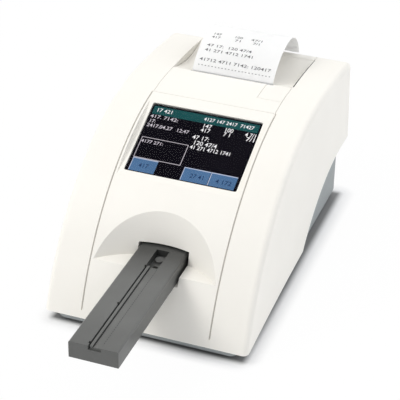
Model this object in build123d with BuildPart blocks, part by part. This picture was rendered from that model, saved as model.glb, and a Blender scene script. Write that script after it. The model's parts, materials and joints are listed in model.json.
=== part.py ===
from build123d import *
import math
import os

# Bench-top urine analyzer: a strip tray that slides into a reading bay, a tilted display
# and a paper printer under a hinged lid. Millimetres, +Z up, front towards -Y, +X to the
# right as seen from the front. The origin lies on the table under the middle of the whole.

os.makedirs("parts", exist_ok=True)

# Cover, drawn from its front lower edge
cover_depth = 224.0
cover_height = 104.0
cover_half_foot = 67.8
cover_draft = 1.9
crest_back = 144.0
rear_radius = 560.0
rear_slope = 0.065
edge_radius = 3.6
least_edge = 0.3
wall = 2.4

# Lower edge of the cover's sides, a slow rise and then an arch, as distance back and height
edge_start = (6.0, 0.0)
edge_mid = (56.0, 4.0)
arch_start = (115.5, 6.3)
arch_mid = (148.8, 28.6)
arch_end = (198.0, 40.5)

# Base casing, with its rim as distance back and height
base_drop = 6.0
base_front = 1.4
base_side_gap = 6.8
base_rear_gap = 3.4
base_wall = 2.2
base_corner = 6.0
base_edge = 5.0
rim_front = 6.0
rim_side = (96.0, 11.5)
rim_mid = (132.0, 30.0)
rim_shoulder = (160.0, 44.5)
foot_height = 1.5
foot_radius = 6.0
foot_edge = 0.4
foot_inset_side = 13.0
foot_inset_front = 34.0
foot_inset_rear = 36.0

# Vents in the rear wall and in the floor
vent_pitch = 4.0
vent_length = 12.0
vent_width = 1.8
vent_drop = 14.0
vent_count = 9
floor_vent_pitch = 5.0
floor_vent_length = 26.0
floor_vent_width = 2.0
floor_vent_offset = 40.0

# Reading bay in the front, a scoop cut by an upright cone
bay_floor = 35.0
bay_axis = -21.3
bay_radius = 55.7
bay_spread = 0.242
bay_reach = 60.0

# Facet with the display
facet_half = 40.9
facet_start = 55.3
facet_end = 112.5
seam = 121.2
glass_width = 74.8
glass_length = 55.8
glass_thickness = 1.1
glass_corner = 1.0
glass_edge = 0.3
glass_sink = 0.2
glass_gap = 0.3
glass_middle = 85.2
picture_margin = 0.8
module_margin = 1.6
module_thickness = 5.2
module_rim = 5.0
module_sink = 1.2
bracket_thickness = 1.2
bracket_border = 3.2
bracket_corner = 3.0
bracket_lap = 8.0
bracket_boss_y = 31.0
bracket_boss_radius = 2.6
bracket_boss_skin = 1.0

# Style grooves down the front
groove_offset = 42.6
groove_width = 1.0
groove_depth = 0.7
groove_foot = 5.0

# Printer bay, panel, release button and lid. A drop is a height measured down from the crest
skin = 2.2
seam_gap = 0.3
opening_half = 42.1
skirt = 1.8
skirt_drop = 16.0
rail_width = 2.2
rail_thickness = 2.0
rail_end = 134.0
slot = 158.1
slot_gap = 0.9
button_left = 25.1
button_front = 135.8
tear_side = 0.7
tear_thickness = 1.0
tear_pitch = 2.0
tear_drop = 0.3
tear_notch = (0.8, 0.2, 0.9)
leg_thickness = 1.6
leg_inset = 3.0
hook_reach = 1.2
hook_thickness = 1.8
lid_half = 41.8
lid_front_drop = 0.7
lid_lip = 1.6
lid_lip_drop = 11.5
valley_depth = 4.0
crease = 210.2
crease_step = 0.7
knuckle_radius = 4.3
pin_radius = 1.25
running_fit = 0.06
body_gap = 0.3

# Paper and roll
paper_half = 28.5
paper_thickness = 0.2
roll_radius = 20.0
roll_back = 187.5
roll_gap = 5.5
core_radius = 6.5
core_bore = 5.0
bucket_radius = 22.5
bucket_wall = 1.8
bucket_half = 29.9
bucket_drop = 21.0
paper_peak_back = 193.3
paper_rise = 16.1
paper_end_back = 217.9
paper_end_drop = 3.8

# Platen, print head and printer drive
platen_radius = 5.0
platen_drop = 12.0
platen_half = 29.0
platen_shaft = 1.5
cheek_inner = 30.5
cheek_thickness = 2.0
bush_radius = 2.6
bush_flange = 0.8
head_thickness = 3.4
head_half = 29.5
head_foot_drop = 20.0
head_top_drop = 6.4
head_pivot_rise = 2.2
head_pivot_radius = 1.2
spring_wall_gap = 4.2
spring_wall_left = -20.5
spring_wall_foot = 10.0
spring_spot_x = 14.0
spring_spot_drop = 13.0
spring_wire = 0.35
spring_radius = 2.4
spring_slack = 0.05
frame_inner = 34.5
frame_sheet = 1.5
frame_front = 129.4
frame_rear = 208.0
frame_foot_drop = 52.0
frame_shoulder_drop = 16.4
frame_top_drop = 8.0
ear_reach = 51.5
ear_length = 10.0
ear_drop = 20.0
ear_front = 132.0
ear_rear = 201.0
printer_boss_x = 47.6
boss_radius = 3.6
gear_module = 0.8
gear_face = 2.8
platen_teeth = 14
idler_teeth = 20
motor_teeth = 10
idler_angle = 250.0
motor_angle = 200.0
printer_motor_radius = 9.0
printer_motor_length = 12.0
motor_edge = 1.0
motor_bore_depth = 5.0
motor_collar = 1.0
gear_shaft = 1.0

# Latch of the lid beside the printer frame
latch_gap = 0.8
latch_thickness = 2.4
latch_pivot_back = 150.5
latch_pivot_drop = 19.5
latch_arm = 7.5
latch_arm_drop = 15.5
latch_nose = 158.5
press_half = 1.5
press_gap = 0.4
lug_gap = 1.1
lug_thickness = 3.2
lug_foot = 6.0
pin_head = 1.0
pin_head_radius = 2.5
lid_step = 1.0
cheek_reach = 4.2
bucket_boss_spread = 22.0
button_spring_spot = (31.0, 147.0)
button_spring_drop = 11.8
button_spring_shelf = (3.5, 4.0)

# Strip tray and its drive
tray_reach = 75.5
tray_inner = 100.0
tray_half = 15.5
tray_height = 11.2
tray_bottom = 30.8
tray_travel = 90.0
tray_edge = 0.8
channel_gap = 1.4
channel_low = 1.2
channel_high = 1.2
channel_back = 44.0
seat_left = -3.3
seat_right = 4.7
seat_groove = 0.9
seat_depth = 3.0
seat_sink = 0.35
seat_ridge = 1.6
seat_slit = 0.6
seat_slit_depth = 2.2
seat_floor_depth = 1.3
seat_fit = 0.15
seat_front_gap = 1.2
seat_back_gap = 0.8
notch_backs = (-72.1, -30.7, 11.8)
notch_width = 0.9
notch_length = 1.8
pocket_left = -3.5
pocket_right = 4.8
pocket_front = 13.7
pocket_back = 31.4
pocket_depth = 4.2
pocket_lap = 0.5
pad_radius = 3.1
pad_thickness = 1.4
pad_edge = 0.3
pad_back = 25.6
drain_radius = 1.8
drain_back = 17.4
core_pitch = 21.5
core_length = 19.5
core_wall = 1.9
core_roof = 3.6
core_count = 8
rack_half = 3.5
rack_top = 35.2
rack_line = 32.1
rack_ahead = 6.0
rack_behind = 8.0
rack_fit = 0.2
pinion_back = 64.0
pinion_teeth = 20
pinion_half = 3.2
tray_shaft = 1.5
tray_motor_radius = 10.0
tray_motor_length = 15.0
tray_motor_flange = (23.0, 12.0, 1.0)
guide_front = 47.0
guide_rear = 194.0
guide_gap = 0.4
guide_floor = 1.8
guide_wall = 2.0
guide_post_x = 22.5
guide_post_front = 84.0
guide_post_rear = 186.0
guide_ear = 4.0
post_radius = 3.4
post_hole = 5.0
board_post_radius = 3.0

# Optical head over the tray
optics_front = 78.0
optics_back = 108.0
optics_half = 26.0
optics_height = 17.0
optics_lift = 1.2
optics_corner = 2.0
optics_slot = (13.0, 9.0, 1.6)
lens_radius = 4.0
lens_back = 93.0
lens_lift = 3.5
lens_thickness = 2.4
lens_edge = 0.8
led_offset = 9.0
led_radius = 2.5
led_length = 6.0
led_fit = 0.1
led_edge = 1.2
detector_size = 4.6
detector_depth = 2.0
optics_board_inset = (3.0, 2.0)

# Boards, sockets and the power switch
board_side_gap = 17.0
board_front = 30.0
board_rear_gap = 5.4
board_thickness = 1.6
board_corner = 2.0
board_lift = 6.0
board_post_inset = 5.0
board_post_front = 37.0
board_post_rear = 180.0
board_post_room = 0.6
chips = (
    (-8.0, 120.0, 16.0, 16.0, 1.6), (16.0, 118.0, 10.0, 14.0, 1.4), (-30.0, 100.0, 8.0, 6.0, 1.2),
    (30.0, 150.0, 8.0, 14.0, 4.0), (-30.0, 150.0, 14.0, 5.0, 6.0), (34.0, 60.0, 5.0, 12.0, 6.0),
    (-32.0, 60.0, 12.0, 9.0, 3.0), (6.0, 150.0, 12.0, 8.0, 1.2),
)
can_spots = ((35.0, 170.0), (35.0, 190.0), (26.0, 180.0))
can_radius = 3.5
can_height = 8.0
jack_inset = 27.0
jack_size = (9.4, 11.0, 14.0)
jack_raise = 0.6
jack_bore = 3.3
jack_pin = 1.0
jack_depth = 9.0
usb_x = 14.0
usb_size = (13.2, 6.2, 14.0)
usb_sheet = 0.4
usb_tongue = (10.8, 1.8, 0.7)
usb_depth = 10.0
serial_x = -12.0
serial_size = (30.8, 12.5, 11.0)
serial_shell = (17.4, 8.4, 0.5)
serial_slope = 80.0
serial_proud = 5.0
serial_pins = ((1.4, 5), (-1.4, 4))
serial_pitch = 2.7
serial_pin_radius = 0.5
port_gap = 0.4
port_sink = 0.6
switch_inset = 23.0
switch_height = 20.0
switch_radius = 5.5
switch_edge = 0.8
switch_travel = 2.0
switch_proud = 1.6
switch_depth = 13.0
switch_wall = 1.4
switch_base = 1.6
switch_spring_radius = 3.0
button_root = 5.0

# Fasteners
case_inset = 11.0
case_inset_rear = 6.1
case_boss_front = 22.0
case_boss_rear_gap = 7.6
case_boss_joint = 2.0
case_boss_joint_rear = 10.0
boss_hole = 10.0
screw_radius = 1.3
screw_head = 2.6
screw_head_height = 1.7
screw_room = 0.4
cross_width = 0.6
cross_length = 2.4
cross_depth = 0.7
case_grip = 8.0
bracket_grip = 3.0
printer_grip = 7.0
guide_grip = 4.0
board_grip = 4.0

# Places that follow from the sizes above
sill = foot_height + base_drop
front_y = -(cover_depth - tray_reach) / 2
cover_half_top = cover_half_foot - cover_draft
front_radius = (crest_back**2 + cover_height**2) / (2 * cover_height)
front_centre = cover_height - front_radius
rear_centre = cover_height - rear_radius
tray_top = tray_bottom + tray_height
channel_half = tray_half + channel_gap
channel_floor = tray_bottom - channel_low
channel_top = tray_top + channel_high
base_half = cover_half_foot - base_side_gap
base_rear = cover_depth - base_rear_gap
base_floor = base_wall - base_drop
rim_rear = rim_shoulder[1]
guide_foot = tray_bottom - guide_gap - guide_floor
board_half = base_half - board_side_gap
board_rear = base_rear - board_rear_gap
board_bottom = base_floor + board_lift
board_top = board_bottom + board_thickness
board_post_x = board_half - board_post_inset
jack_x = base_half - jack_inset
switch_x = switch_inset - base_half
skirt_foot = cover_height - skirt_drop
lid_lip_foot = cover_height - lid_lip_drop
bucket_top = cover_height - bucket_drop
paper_peak = cover_height + paper_rise
paper_end = cover_height - paper_end_drop
platen_height = cover_height - platen_drop
head_foot = cover_height - head_foot_drop
head_top = cover_height - head_top_drop
spring_spot_height = cover_height - spring_spot_drop
frame_foot = cover_height - frame_foot_drop
frame_shoulder = cover_height - frame_shoulder_drop
frame_top = cover_height - frame_top_drop
ear_height = cover_height - ear_drop
latch_pivot = (latch_pivot_back, cover_height - latch_pivot_drop)
latch_arm_top = cover_height - latch_arm_drop
button_spring_seat = cover_height - button_spring_drop
module_width = glass_width + 2 * module_margin
module_length = glass_length + 2 * module_margin
bracket_boss_x = module_width / 2 + bracket_boss_radius + seam_gap
case_bosses = (
    (base_half - case_inset, case_boss_front, case_boss_joint),
    (base_half - case_inset_rear, base_rear - case_boss_rear_gap, case_boss_joint_rear),
)
printer_bosses = (
    (printer_boss_x, ear_front, ear_height + frame_sheet),
    (printer_boss_x, ear_rear, ear_height + frame_sheet),
)

side = Plane(origin=(0, front_y, sill), x_dir=(0, 1, 0), z_dir=(1, 0, 0))
plan = Plane(origin=(0, front_y, sill))
facing = Plane(origin=(0, front_y, sill), x_dir=(1, 0, 0), z_dir=(0, -1, 0))


def roof(back, inset=0.0):
    """Height of the cover's top skin above its lower edge, back mm behind the front edge."""
    if back < crest_back:
        return front_centre + math.sqrt((front_radius - inset) ** 2 - (crest_back - back) ** 2)
    return rear_centre + math.sqrt((rear_radius - inset) ** 2 - (back - crest_back) ** 2)


def rear_face(height):
    """Depth of the leaning rear wall's outside at a height above the cover's lower edge."""
    return cover_depth - (height - arch_end[1]) * rear_slope


def cover_form(inset=0.0, drop=0.0):
    """The cover's closed outer form, or the one inset inside its skin, down to drop below the edge."""
    start = math.degrees(math.asin((-drop - front_centre) / (front_radius - inset)))
    front_spot = (crest_back, front_centre)
    with BuildPart() as form:
        with BuildSketch(side):
            with BuildLine():
                front_arc = CenterArc(front_spot, front_radius - inset, 180 - start, start - 90)
                rear_arc = CenterArc((crest_back, rear_centre), rear_radius - inset, 90, -12)
                Polyline(rear_arc @ 1, ((rear_arc @ 1).X, -drop), front_arc @ 0)
            make_face()
            with BuildLine():
                Polyline(
                    (-cover_depth, -drop),
                    (rear_face(-drop) - inset, -drop),
                    (rear_face(2 * cover_height) - inset, 2 * cover_height),
                    (-cover_depth, 2 * cover_height),
                    close=True,
                )
            make_face(mode=Mode.INTERSECT)
        extrude(amount=2 * cover_half_foot, both=True)
        draft = (cover_half_foot - cover_half_top) / cover_height
        low_half = cover_half_foot + draft * drop - inset
        high_half = cover_half_top - draft * cover_height - inset
        with BuildSketch(facing.offset(cover_depth)):
            with BuildLine():
                Polyline(
                    (-low_half, -drop),
                    (low_half, -drop),
                    (high_half, 2 * cover_height),
                    (-high_half, 2 * cover_height),
                    close=True,
                )
            make_face()
        extrude(amount=-3 * cover_depth, mode=Mode.INTERSECT)
        above = form.edges().filter_by(lambda edge: edge.center().Z > sill - drop + 1)
        crest = above.filter_by(Axis.X).filter_by(lambda edge: edge.center().Y < front_y + crest_back + 1)
        fillet(above - crest, max(edge_radius - inset, least_edge))
    return form.part


def slab(left, right, front, back, low, high):
    """A plain block between two limits on each axis, measured from the cover's front lower edge."""
    with BuildPart() as block:
        with BuildSketch(plan.offset(low)):
            with Locations(((left + right) / 2, (front + back) / 2)):
                Rectangle(right - left, back - front)
        extrude(amount=high - low)
    return block.part


def bay_form(grow):
    """The scoop of the reading bay, grown by a wall thickness where grow isn't zero."""
    low = bay_floor - grow
    with BuildPart(plan.offset(low)) as form:
        with Locations((0, bay_axis, 0)):
            Cone(
                bay_radius + grow * (1 - bay_spread),
                bay_radius + grow + bay_spread * bay_reach,
                bay_reach + grow,
                align=(Align.CENTER, Align.CENTER, Align.MIN),
            )
    return form.part


facet_slope = (roof(facet_end) - roof(facet_start)) / (facet_end - facet_start)
facet_angle = math.atan(facet_slope)
facet_run = (glass_middle - facet_start) * facet_slope
glass_plane = Plane(
    origin=(0, front_y + glass_middle, sill + roof(facet_start) + facet_run),
    x_dir=(1, 0, 0),
    z_dir=(0, -math.sin(facet_angle), math.cos(facet_angle)),
)


def facet_form(grow):
    """All that lies above the display facet, which sinks and widens by grow."""
    level = roof(facet_start) - grow / math.cos(facet_angle)
    rise = facet_slope * cover_depth
    with BuildPart() as form:
        with BuildSketch(side):
            Polygon(
                (facet_start - cover_depth, level - rise),
                (facet_start + cover_depth, level + rise),
                (facet_start - cover_depth, level + rise),
                align=None,
            )
        extrude(amount=facet_half + grow, both=True)
    return form.part


def gear_outline(centre, teeth, phase):
    """A spur gear's outline in the open sketch, with one tooth pointing at phase degrees."""
    pitch = gear_module * teeth / 2
    root = pitch - 1.25 * gear_module
    with Locations(centre):
        Circle(root)
        with PolarLocations(0, teeth, start_angle=phase):
            Polygon(
                (root - 0.3, -root_width / 2),
                (pitch + 0.9 * gear_module, -tip_width / 2),
                (pitch + 0.9 * gear_module, tip_width / 2),
                (root - 0.3, root_width / 2),
                align=None,
            )


tooth_pitch = math.pi * gear_module
tooth_width = 0.36 * tooth_pitch
flank = math.tan(math.radians(20))
tip_width = tooth_width - 1.8 * gear_module * flank
root_width = tooth_width + 2.5 * gear_module * flank

# Hinge, platen and gear centres, as distance behind the front edge and height
hinge_height = roof(rear_face(cover_height) - knuckle_radius) - knuckle_radius
hinge = (rear_face(hinge_height) - knuckle_radius, hinge_height)
platen = (slot + platen_radius + slot_gap / 2, platen_height)
platen_pitch = gear_module * platen_teeth / 2
idler_pitch = gear_module * idler_teeth / 2
motor_pitch = gear_module * motor_teeth / 2
idler = (
    platen[0] + (platen_pitch + idler_pitch) * math.cos(math.radians(idler_angle)),
    platen[1] + (platen_pitch + idler_pitch) * math.sin(math.radians(idler_angle)),
)
motor = (
    idler[0] + (idler_pitch + motor_pitch) * math.cos(math.radians(motor_angle)),
    idler[1] + (idler_pitch + motor_pitch) * math.sin(math.radians(motor_angle)),
)
idler_phase = idler_angle + 180 + 180 / idler_teeth
idler_ahead = (idler_phase - motor_angle) % (360 / idler_teeth)
motor_phase = motor_angle + 180 - idler_ahead * idler_teeth / motor_teeth + 180 / motor_teeth

# The lid's sunk surface, and the paper roll that hangs under it
lid_front = slot + slot_gap / 2 + seam_gap
lid_front_top = roof(lid_front) - lid_front_drop
crease_top = roof(crease) - crease_step
valley = ((lid_front + crease) / 2, (lid_front_top + crease_top) / 2 - valley_depth)
roll_height = valley[1] - skin - roll_gap - roll_radius

# Cavity of the cover: the inset form less the walls that stand in it
with BuildPart() as cavity:
    add(cover_form(wall, base_drop))
    add(bay_form(wall), mode=Mode.SUBTRACT)
    add(facet_form(wall), mode=Mode.SUBTRACT)
    add(
        slab(
            -channel_half - wall, channel_half + wall, -tray_reach, channel_back - wall,
            channel_floor - wall, channel_top,
        ),
        mode=Mode.SUBTRACT,
    )
    for hand in (-1, 1):
        inner = sorted((hand * opening_half, hand * (opening_half + skirt)))
        add(slab(*inner, seam + wall, cover_depth, skirt_foot, cover_height), mode=Mode.SUBTRACT)
    # Bosses for the case screws, the printer and the display bracket
    for x, back, foot in case_bosses + printer_bosses:
        with BuildSketch(plan.offset(foot)):
            with Locations((x, back), (-x, back)):
                Circle(boss_radius)
        extrude(amount=cover_height, mode=Mode.SUBTRACT)
    with BuildSketch(glass_plane.offset(-wall - module_thickness)):
        with GridLocations(2 * bracket_boss_x, 2 * bracket_boss_y, 2, 2):
            Circle(bracket_boss_radius)
    extrude(amount=module_thickness + wall, mode=Mode.SUBTRACT)

# Top cover
with BuildPart() as top_cover:
    add(cover_form())
    with BuildSketch(side):
        with BuildLine():
            ThreePointArc(edge_start, edge_mid, arch_start)
            ThreePointArc(arch_start, arch_mid, arch_end)
            Polyline(
                arch_end, (2 * cover_depth, arch_end[1]), (2 * cover_depth, -base_drop),
                (edge_start[0], -base_drop), edge_start,
            )
        make_face()
    extrude(amount=cover_depth, both=True, mode=Mode.SUBTRACT)
    add(bay_form(0), mode=Mode.SUBTRACT)
    add(facet_form(0), mode=Mode.SUBTRACT)
    # Two grooves run up the front from above the lower edge, beside the facet, to the printer panel
    for x in (-groove_offset, groove_offset):
        with BuildSketch(side.offset(x - groove_width / 2)):
            with BuildLine():
                outer = CenterArc((crest_back, front_centre), front_radius + groove_width, 180, -90)
                inner = CenterArc((crest_back, front_centre), front_radius - groove_depth, 180, -90)
                Line(outer @ 0, inner @ 0)
                Line(outer @ 1, inner @ 1)
            make_face()
            with Locations((0, groove_foot)):
                Rectangle(
                    2 * (seam + seam_gap), cover_height,
                    align=(Align.CENTER, Align.MIN), mode=Mode.INTERSECT,
                )
        extrude(amount=groove_width, mode=Mode.SUBTRACT)
    add(cavity.part, mode=Mode.SUBTRACT)
    # Channel of the tray through the bay's floor and rear wall
    add(
        slab(-channel_half, channel_half, -tray_reach, channel_back, channel_floor, channel_top),
        mode=Mode.SUBTRACT,
    )
    # Opening of the printer bay, through the roof and the top of the rear wall
    add(slab(-opening_half, opening_half, seam, crest_back, skirt_foot, 2 * cover_height), mode=Mode.SUBTRACT)
    add(
        slab(
            -opening_half, opening_half, crest_back, 2 * cover_depth,
            hinge[1] - knuckle_radius - 2 * body_gap, 2 * cover_height,
        ),
        mode=Mode.SUBTRACT,
    )
    # Rails under both sides of the printer panel
    for hand in (-1, 1):
        ends = sorted((hand * (opening_half - rail_width), hand * (opening_half + skirt / 2)))
        rail = slab(*ends, seam - wall / 2, rail_end, skirt_foot, cover_height)
        add(rail & cover_form(skin) - cover_form(skin + rail_thickness))
    # Window opening, screw holes and the seats of the hinge pin
    with BuildSketch(glass_plane.offset(wall)):
        RectangleRounded(
            glass_width + 2 * glass_gap, glass_length + 2 * glass_gap, glass_corner + glass_gap
        )
    extrude(amount=-3 * wall, mode=Mode.SUBTRACT)
    for x, back, foot in case_bosses + printer_bosses:
        with BuildSketch(plan.offset(foot)):
            with Locations((x, back), (-x, back)):
                Circle(screw_radius)
        extrude(amount=boss_hole, mode=Mode.SUBTRACT)
    with BuildSketch(glass_plane.offset(-wall - module_thickness)):
        with GridLocations(2 * bracket_boss_x, 2 * bracket_boss_y, 2, 2):
            Circle(screw_radius)
    extrude(amount=module_thickness - bracket_boss_skin, mode=Mode.SUBTRACT)
    with BuildSketch(side):
        with Locations(hinge):
            Circle(pin_radius)
    extrude(amount=opening_half + skirt, both=True, mode=Mode.SUBTRACT)
top_cover.part.label = "top_cover"
export_step(top_cover.part, "parts/top_cover.step")

# Bottom casing
base_middle = (base_front + base_rear) / 2
base_length = base_rear - base_front
rear_wall = Plane(origin=(0, front_y + base_rear, sill), x_dir=(-1, 0, 0), z_dir=(0, 1, 0))
with BuildPart() as bottom_case:
    with BuildSketch(plan.offset(-base_drop)):
        with Locations((0, base_middle)):
            RectangleRounded(2 * base_half, base_length, base_corner)
    extrude(amount=base_drop + rim_rear)
    fillet(bottom_case.faces().sort_by(Axis.Z)[0].edges(), base_edge)
    with BuildSketch(plan.offset(base_floor)):
        with Locations((0, base_middle)):
            RectangleRounded(
                2 * (base_half - base_wall), base_length - 2 * base_wall, base_corner - base_wall
            )
    extrude(amount=rim_rear + base_drop, mode=Mode.SUBTRACT)
    with BuildSketch(side):
        with BuildLine():
            Polyline(
                (-cover_depth, 0), (base_front + base_corner, 0),
                (base_front + base_corner + rim_front, rim_front), rim_side, rim_mid, rim_shoulder,
                (2 * cover_depth, rim_rear), (2 * cover_depth, cover_height),
                (-cover_depth, cover_height), close=True,
            )
        make_face()
    extrude(amount=cover_half_foot, both=True, mode=Mode.SUBTRACT)
    # Screw columns that meet the cover's bosses, with the screw heads sunk from below
    for x, back, joint in case_bosses:
        with BuildSketch(plan.offset(base_floor)):
            with Locations((x, back), (-x, back)):
                Circle(screw_head + screw_room + base_wall)
        extrude(amount=joint - base_floor)
    for x, back, joint in case_bosses:
        with BuildSketch(plan.offset(-base_drop)):
            with Locations((x, back), (-x, back)):
                Circle(screw_head + screw_room)
        extrude(amount=base_drop + joint - 2 * base_wall, mode=Mode.SUBTRACT)
        with BuildSketch(plan.offset(-base_drop)):
            with Locations((x, back), (-x, back)):
                Circle(screw_radius)
        extrude(amount=base_drop + joint, mode=Mode.SUBTRACT)
    # Posts for the main board and for the tray guide
    for x, back, radius, top in (
        (board_post_x, board_post_front, board_post_radius, board_bottom),
        (board_post_x, board_post_rear, board_post_radius, board_bottom),
        (guide_post_x, guide_post_front, post_radius, guide_foot),
        (guide_post_x, guide_post_rear, post_radius, guide_foot),
    ):
        with BuildSketch(plan.offset(base_floor)):
            with Locations((x, back), (-x, back)):
                Circle(radius)
        extrude(amount=top - base_floor)
        with BuildSketch(plan.offset(top - post_hole)):
            with Locations((x, back), (-x, back)):
                Circle(screw_radius)
        extrude(amount=post_hole, mode=Mode.SUBTRACT)
    # Openings of the sockets and the switch in the rear wall, and the vents
    with BuildSketch(rear_wall):
        for x, size in ((jack_x, jack_size), (usb_x, usb_size), (serial_x, serial_size)):
            with Locations((-x, board_top + size[1] / 2)):
                Rectangle(size[0] + 2 * port_gap, size[1] + 2 * port_gap)
        with Locations((-switch_x, switch_height)):
            Circle(switch_radius + port_gap)
        with Locations((-usb_x, rim_rear - vent_drop)):
            with GridLocations(vent_pitch, 0, vent_count, 1):
                SlotOverall(vent_length, vent_width, 90)
    extrude(amount=-base_wall - port_gap, mode=Mode.SUBTRACT)
    with BuildSketch(plan.offset(-base_drop)):
        with Locations((0, base_middle - floor_vent_offset), (0, base_middle + floor_vent_offset)):
            with GridLocations(floor_vent_pitch, 0, vent_count, 1):
                Rectangle(floor_vent_width, floor_vent_length)
    extrude(amount=base_wall, mode=Mode.SUBTRACT)
bottom_case.part.label = "bottom_case"
export_step(bottom_case.part, "parts/bottom_case.step")

# Rubber feet
foot_x = base_half - foot_inset_side
foot_spots = [
    (x, back)
    for x in (-foot_x, foot_x)
    for back in (base_front + foot_inset_front, base_rear - foot_inset_rear)
]
with BuildPart() as rubber_feet:
    with BuildSketch(plan.offset(-sill)):
        with Locations(*foot_spots):
            Circle(foot_radius)
    extrude(amount=foot_height)
    chamfer(rubber_feet.faces().sort_by(Axis.Z).group_by(Axis.Z)[0].edges(), foot_edge)
rubber_feet.part.label = "rubber_feet"
export_step(rubber_feet.part, "parts/rubber_feet.step")


def screws(plane, spots, length):
    """Pan-head screws whose heads stand above the plane and whose shanks reach length below it."""
    with BuildPart() as group:
        with BuildSketch(plane):
            with Locations(*spots):
                Circle(screw_head)
        extrude(amount=screw_head_height)
        with BuildSketch(plane):
            with Locations(*spots):
                Circle(screw_radius)
        extrude(amount=-length)
        with BuildSketch(plane.offset(screw_head_height)):
            with Locations(*spots):
                Rectangle(cross_width, cross_length)
                Rectangle(cross_length, cross_width)
        extrude(amount=-cross_depth, mode=Mode.SUBTRACT)
    return group.part


def downward(height):
    """A plane at a height above the cover's edge that faces down, with X to the left."""
    return Plane(origin=(0, front_y, sill + height), x_dir=(-1, 0, 0), z_dir=(0, 0, -1))


# Case screws, driven up from below
with BuildPart() as case_screws:
    for x, back, joint in case_bosses:
        head_plane = downward(joint - 2 * base_wall)
        add(screws(head_plane, ((x, back), (-x, back)), 2 * base_wall + case_grip))
case_screws.part.label = "case_screws"
export_step(case_screws.part, "parts/case_screws.step")

# Display: window glass, module behind it and the bracket that holds the module
with BuildPart() as display_window:
    with BuildSketch(glass_plane.offset(-glass_sink)):
        RectangleRounded(glass_width, glass_length, glass_corner)
    extrude(amount=-glass_thickness)
    top_face = display_window.faces().sort_by(Axis((0, 0, 0), glass_plane.z_dir))[-1]
    chamfer(top_face.edges(), glass_edge)
display_window.part.label = "display_window"
export_step(display_window.part, "parts/display_window.step")

picture_width = glass_width - 2 * picture_margin
picture_length = glass_length - 2 * picture_margin
with BuildPart() as display_module:
    with BuildSketch(glass_plane.offset(-wall)):
        Rectangle(module_width, module_length)
    extrude(amount=-module_thickness)
    with BuildSketch(glass_plane.offset(-wall)):
        Rectangle(picture_width, picture_length)
    extrude(amount=wall - glass_sink - glass_thickness)
    with BuildSketch(glass_plane.offset(-wall - module_thickness)):
        Rectangle(module_width - 2 * module_rim, module_length - 2 * module_rim)
    extrude(amount=module_sink, mode=Mode.SUBTRACT)
display_module.part.label = "display_module"
export_step(display_module.part, "parts/display_module.step")

bracket_plane = glass_plane.offset(-wall - module_thickness)
with BuildPart() as display_bracket:
    with BuildSketch(bracket_plane):
        RectangleRounded(
            2 * (bracket_boss_x + bracket_border), 2 * (bracket_boss_y + bracket_border), bracket_corner
        )
        RectangleRounded(
            module_width - 2 * bracket_lap, module_length - 2 * bracket_lap, bracket_corner,
            mode=Mode.SUBTRACT,
        )
        with GridLocations(2 * bracket_boss_x, 2 * bracket_boss_y, 2, 2):
            Circle(screw_radius, mode=Mode.SUBTRACT)
    extrude(amount=-bracket_thickness)
display_bracket.part.label = "display_bracket"
export_step(display_bracket.part, "parts/display_bracket.step")

bracket_under = Plane(
    origin=bracket_plane.offset(-bracket_thickness).origin, x_dir=(-1, 0, 0), z_dir=-glass_plane.z_dir
)
bracket_spots = [
    (x, y) for x in (-bracket_boss_x, bracket_boss_x) for y in (-bracket_boss_y, bracket_boss_y)
]
bracket_screws = screws(bracket_under, bracket_spots, bracket_thickness + bracket_grip)
bracket_screws.label = "bracket_screws"
export_step(bracket_screws, "parts/bracket_screws.step")

# Fixed panel in front of the paper slot
panel_half = opening_half - seam_gap
panel_back = slot - slot_gap
top_skin = cover_form() - cover_form(skin)
tear_half = paper_half + tear_side
leg_front = seam + wall + seam_gap
leg_back = rail_end - leg_inset
rail_foot = roof(leg_front, skin + rail_thickness)
with BuildPart() as printer_panel:
    add(
        top_skin & slab(
            -panel_half, panel_half, seam + seam_gap, panel_back, skirt_foot, 2 * cover_height
        )
    )
    add(
        slab(
            button_left - seam_gap, panel_half + 1, button_front - seam_gap, slot,
            skirt_foot, 2 * cover_height,
        ),
        mode=Mode.SUBTRACT,
    )
    add(
        slab(-tear_half, tear_half, panel_back - tear_thickness, slot, skirt_foot, 2 * cover_height),
        mode=Mode.SUBTRACT,
    )
    # Clip legs that hook under the rails
    for hand in (-1, 1):
        leg_out = opening_half - rail_width - seam_gap
        leg = sorted((hand * (leg_out - leg_thickness), hand * leg_out))
        hook = sorted((hand * (leg_out - leg_thickness), hand * (leg_out + hook_reach)))
        add(
            slab(*leg, leg_front, leg_back, rail_foot - hook_thickness, roof(leg_back, skin) + seam_gap)
        )
        add(slab(*hook, leg_front, leg_back, rail_foot - hook_thickness, rail_foot - seam_gap))
printer_panel.part.label = "printer_panel"
export_step(printer_panel.part, "parts/printer_panel.step")

# Serrated tear bar at the panel's rear edge
tear_top = roof(slot) - tear_drop
tear_foot = head_top + tear_side
notch_half, notch_over, notch_drop = tear_notch
with BuildPart() as tear_bar:
    add(slab(-tear_half, tear_half, panel_back - tear_thickness, panel_back, tear_foot, tear_top))
    with BuildSketch(facing.offset(-panel_back)):
        with Locations((0, tear_top)):
            with GridLocations(tear_pitch, 0, int(2 * tear_half / tear_pitch), 1):
                Polygon((-notch_half, notch_over), (notch_half, notch_over), (0, -notch_drop), align=None)
    extrude(amount=tear_thickness, mode=Mode.SUBTRACT)
tear_bar.part.label = "tear_bar"
export_step(tear_bar.part, "parts/tear_bar.step")

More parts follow.
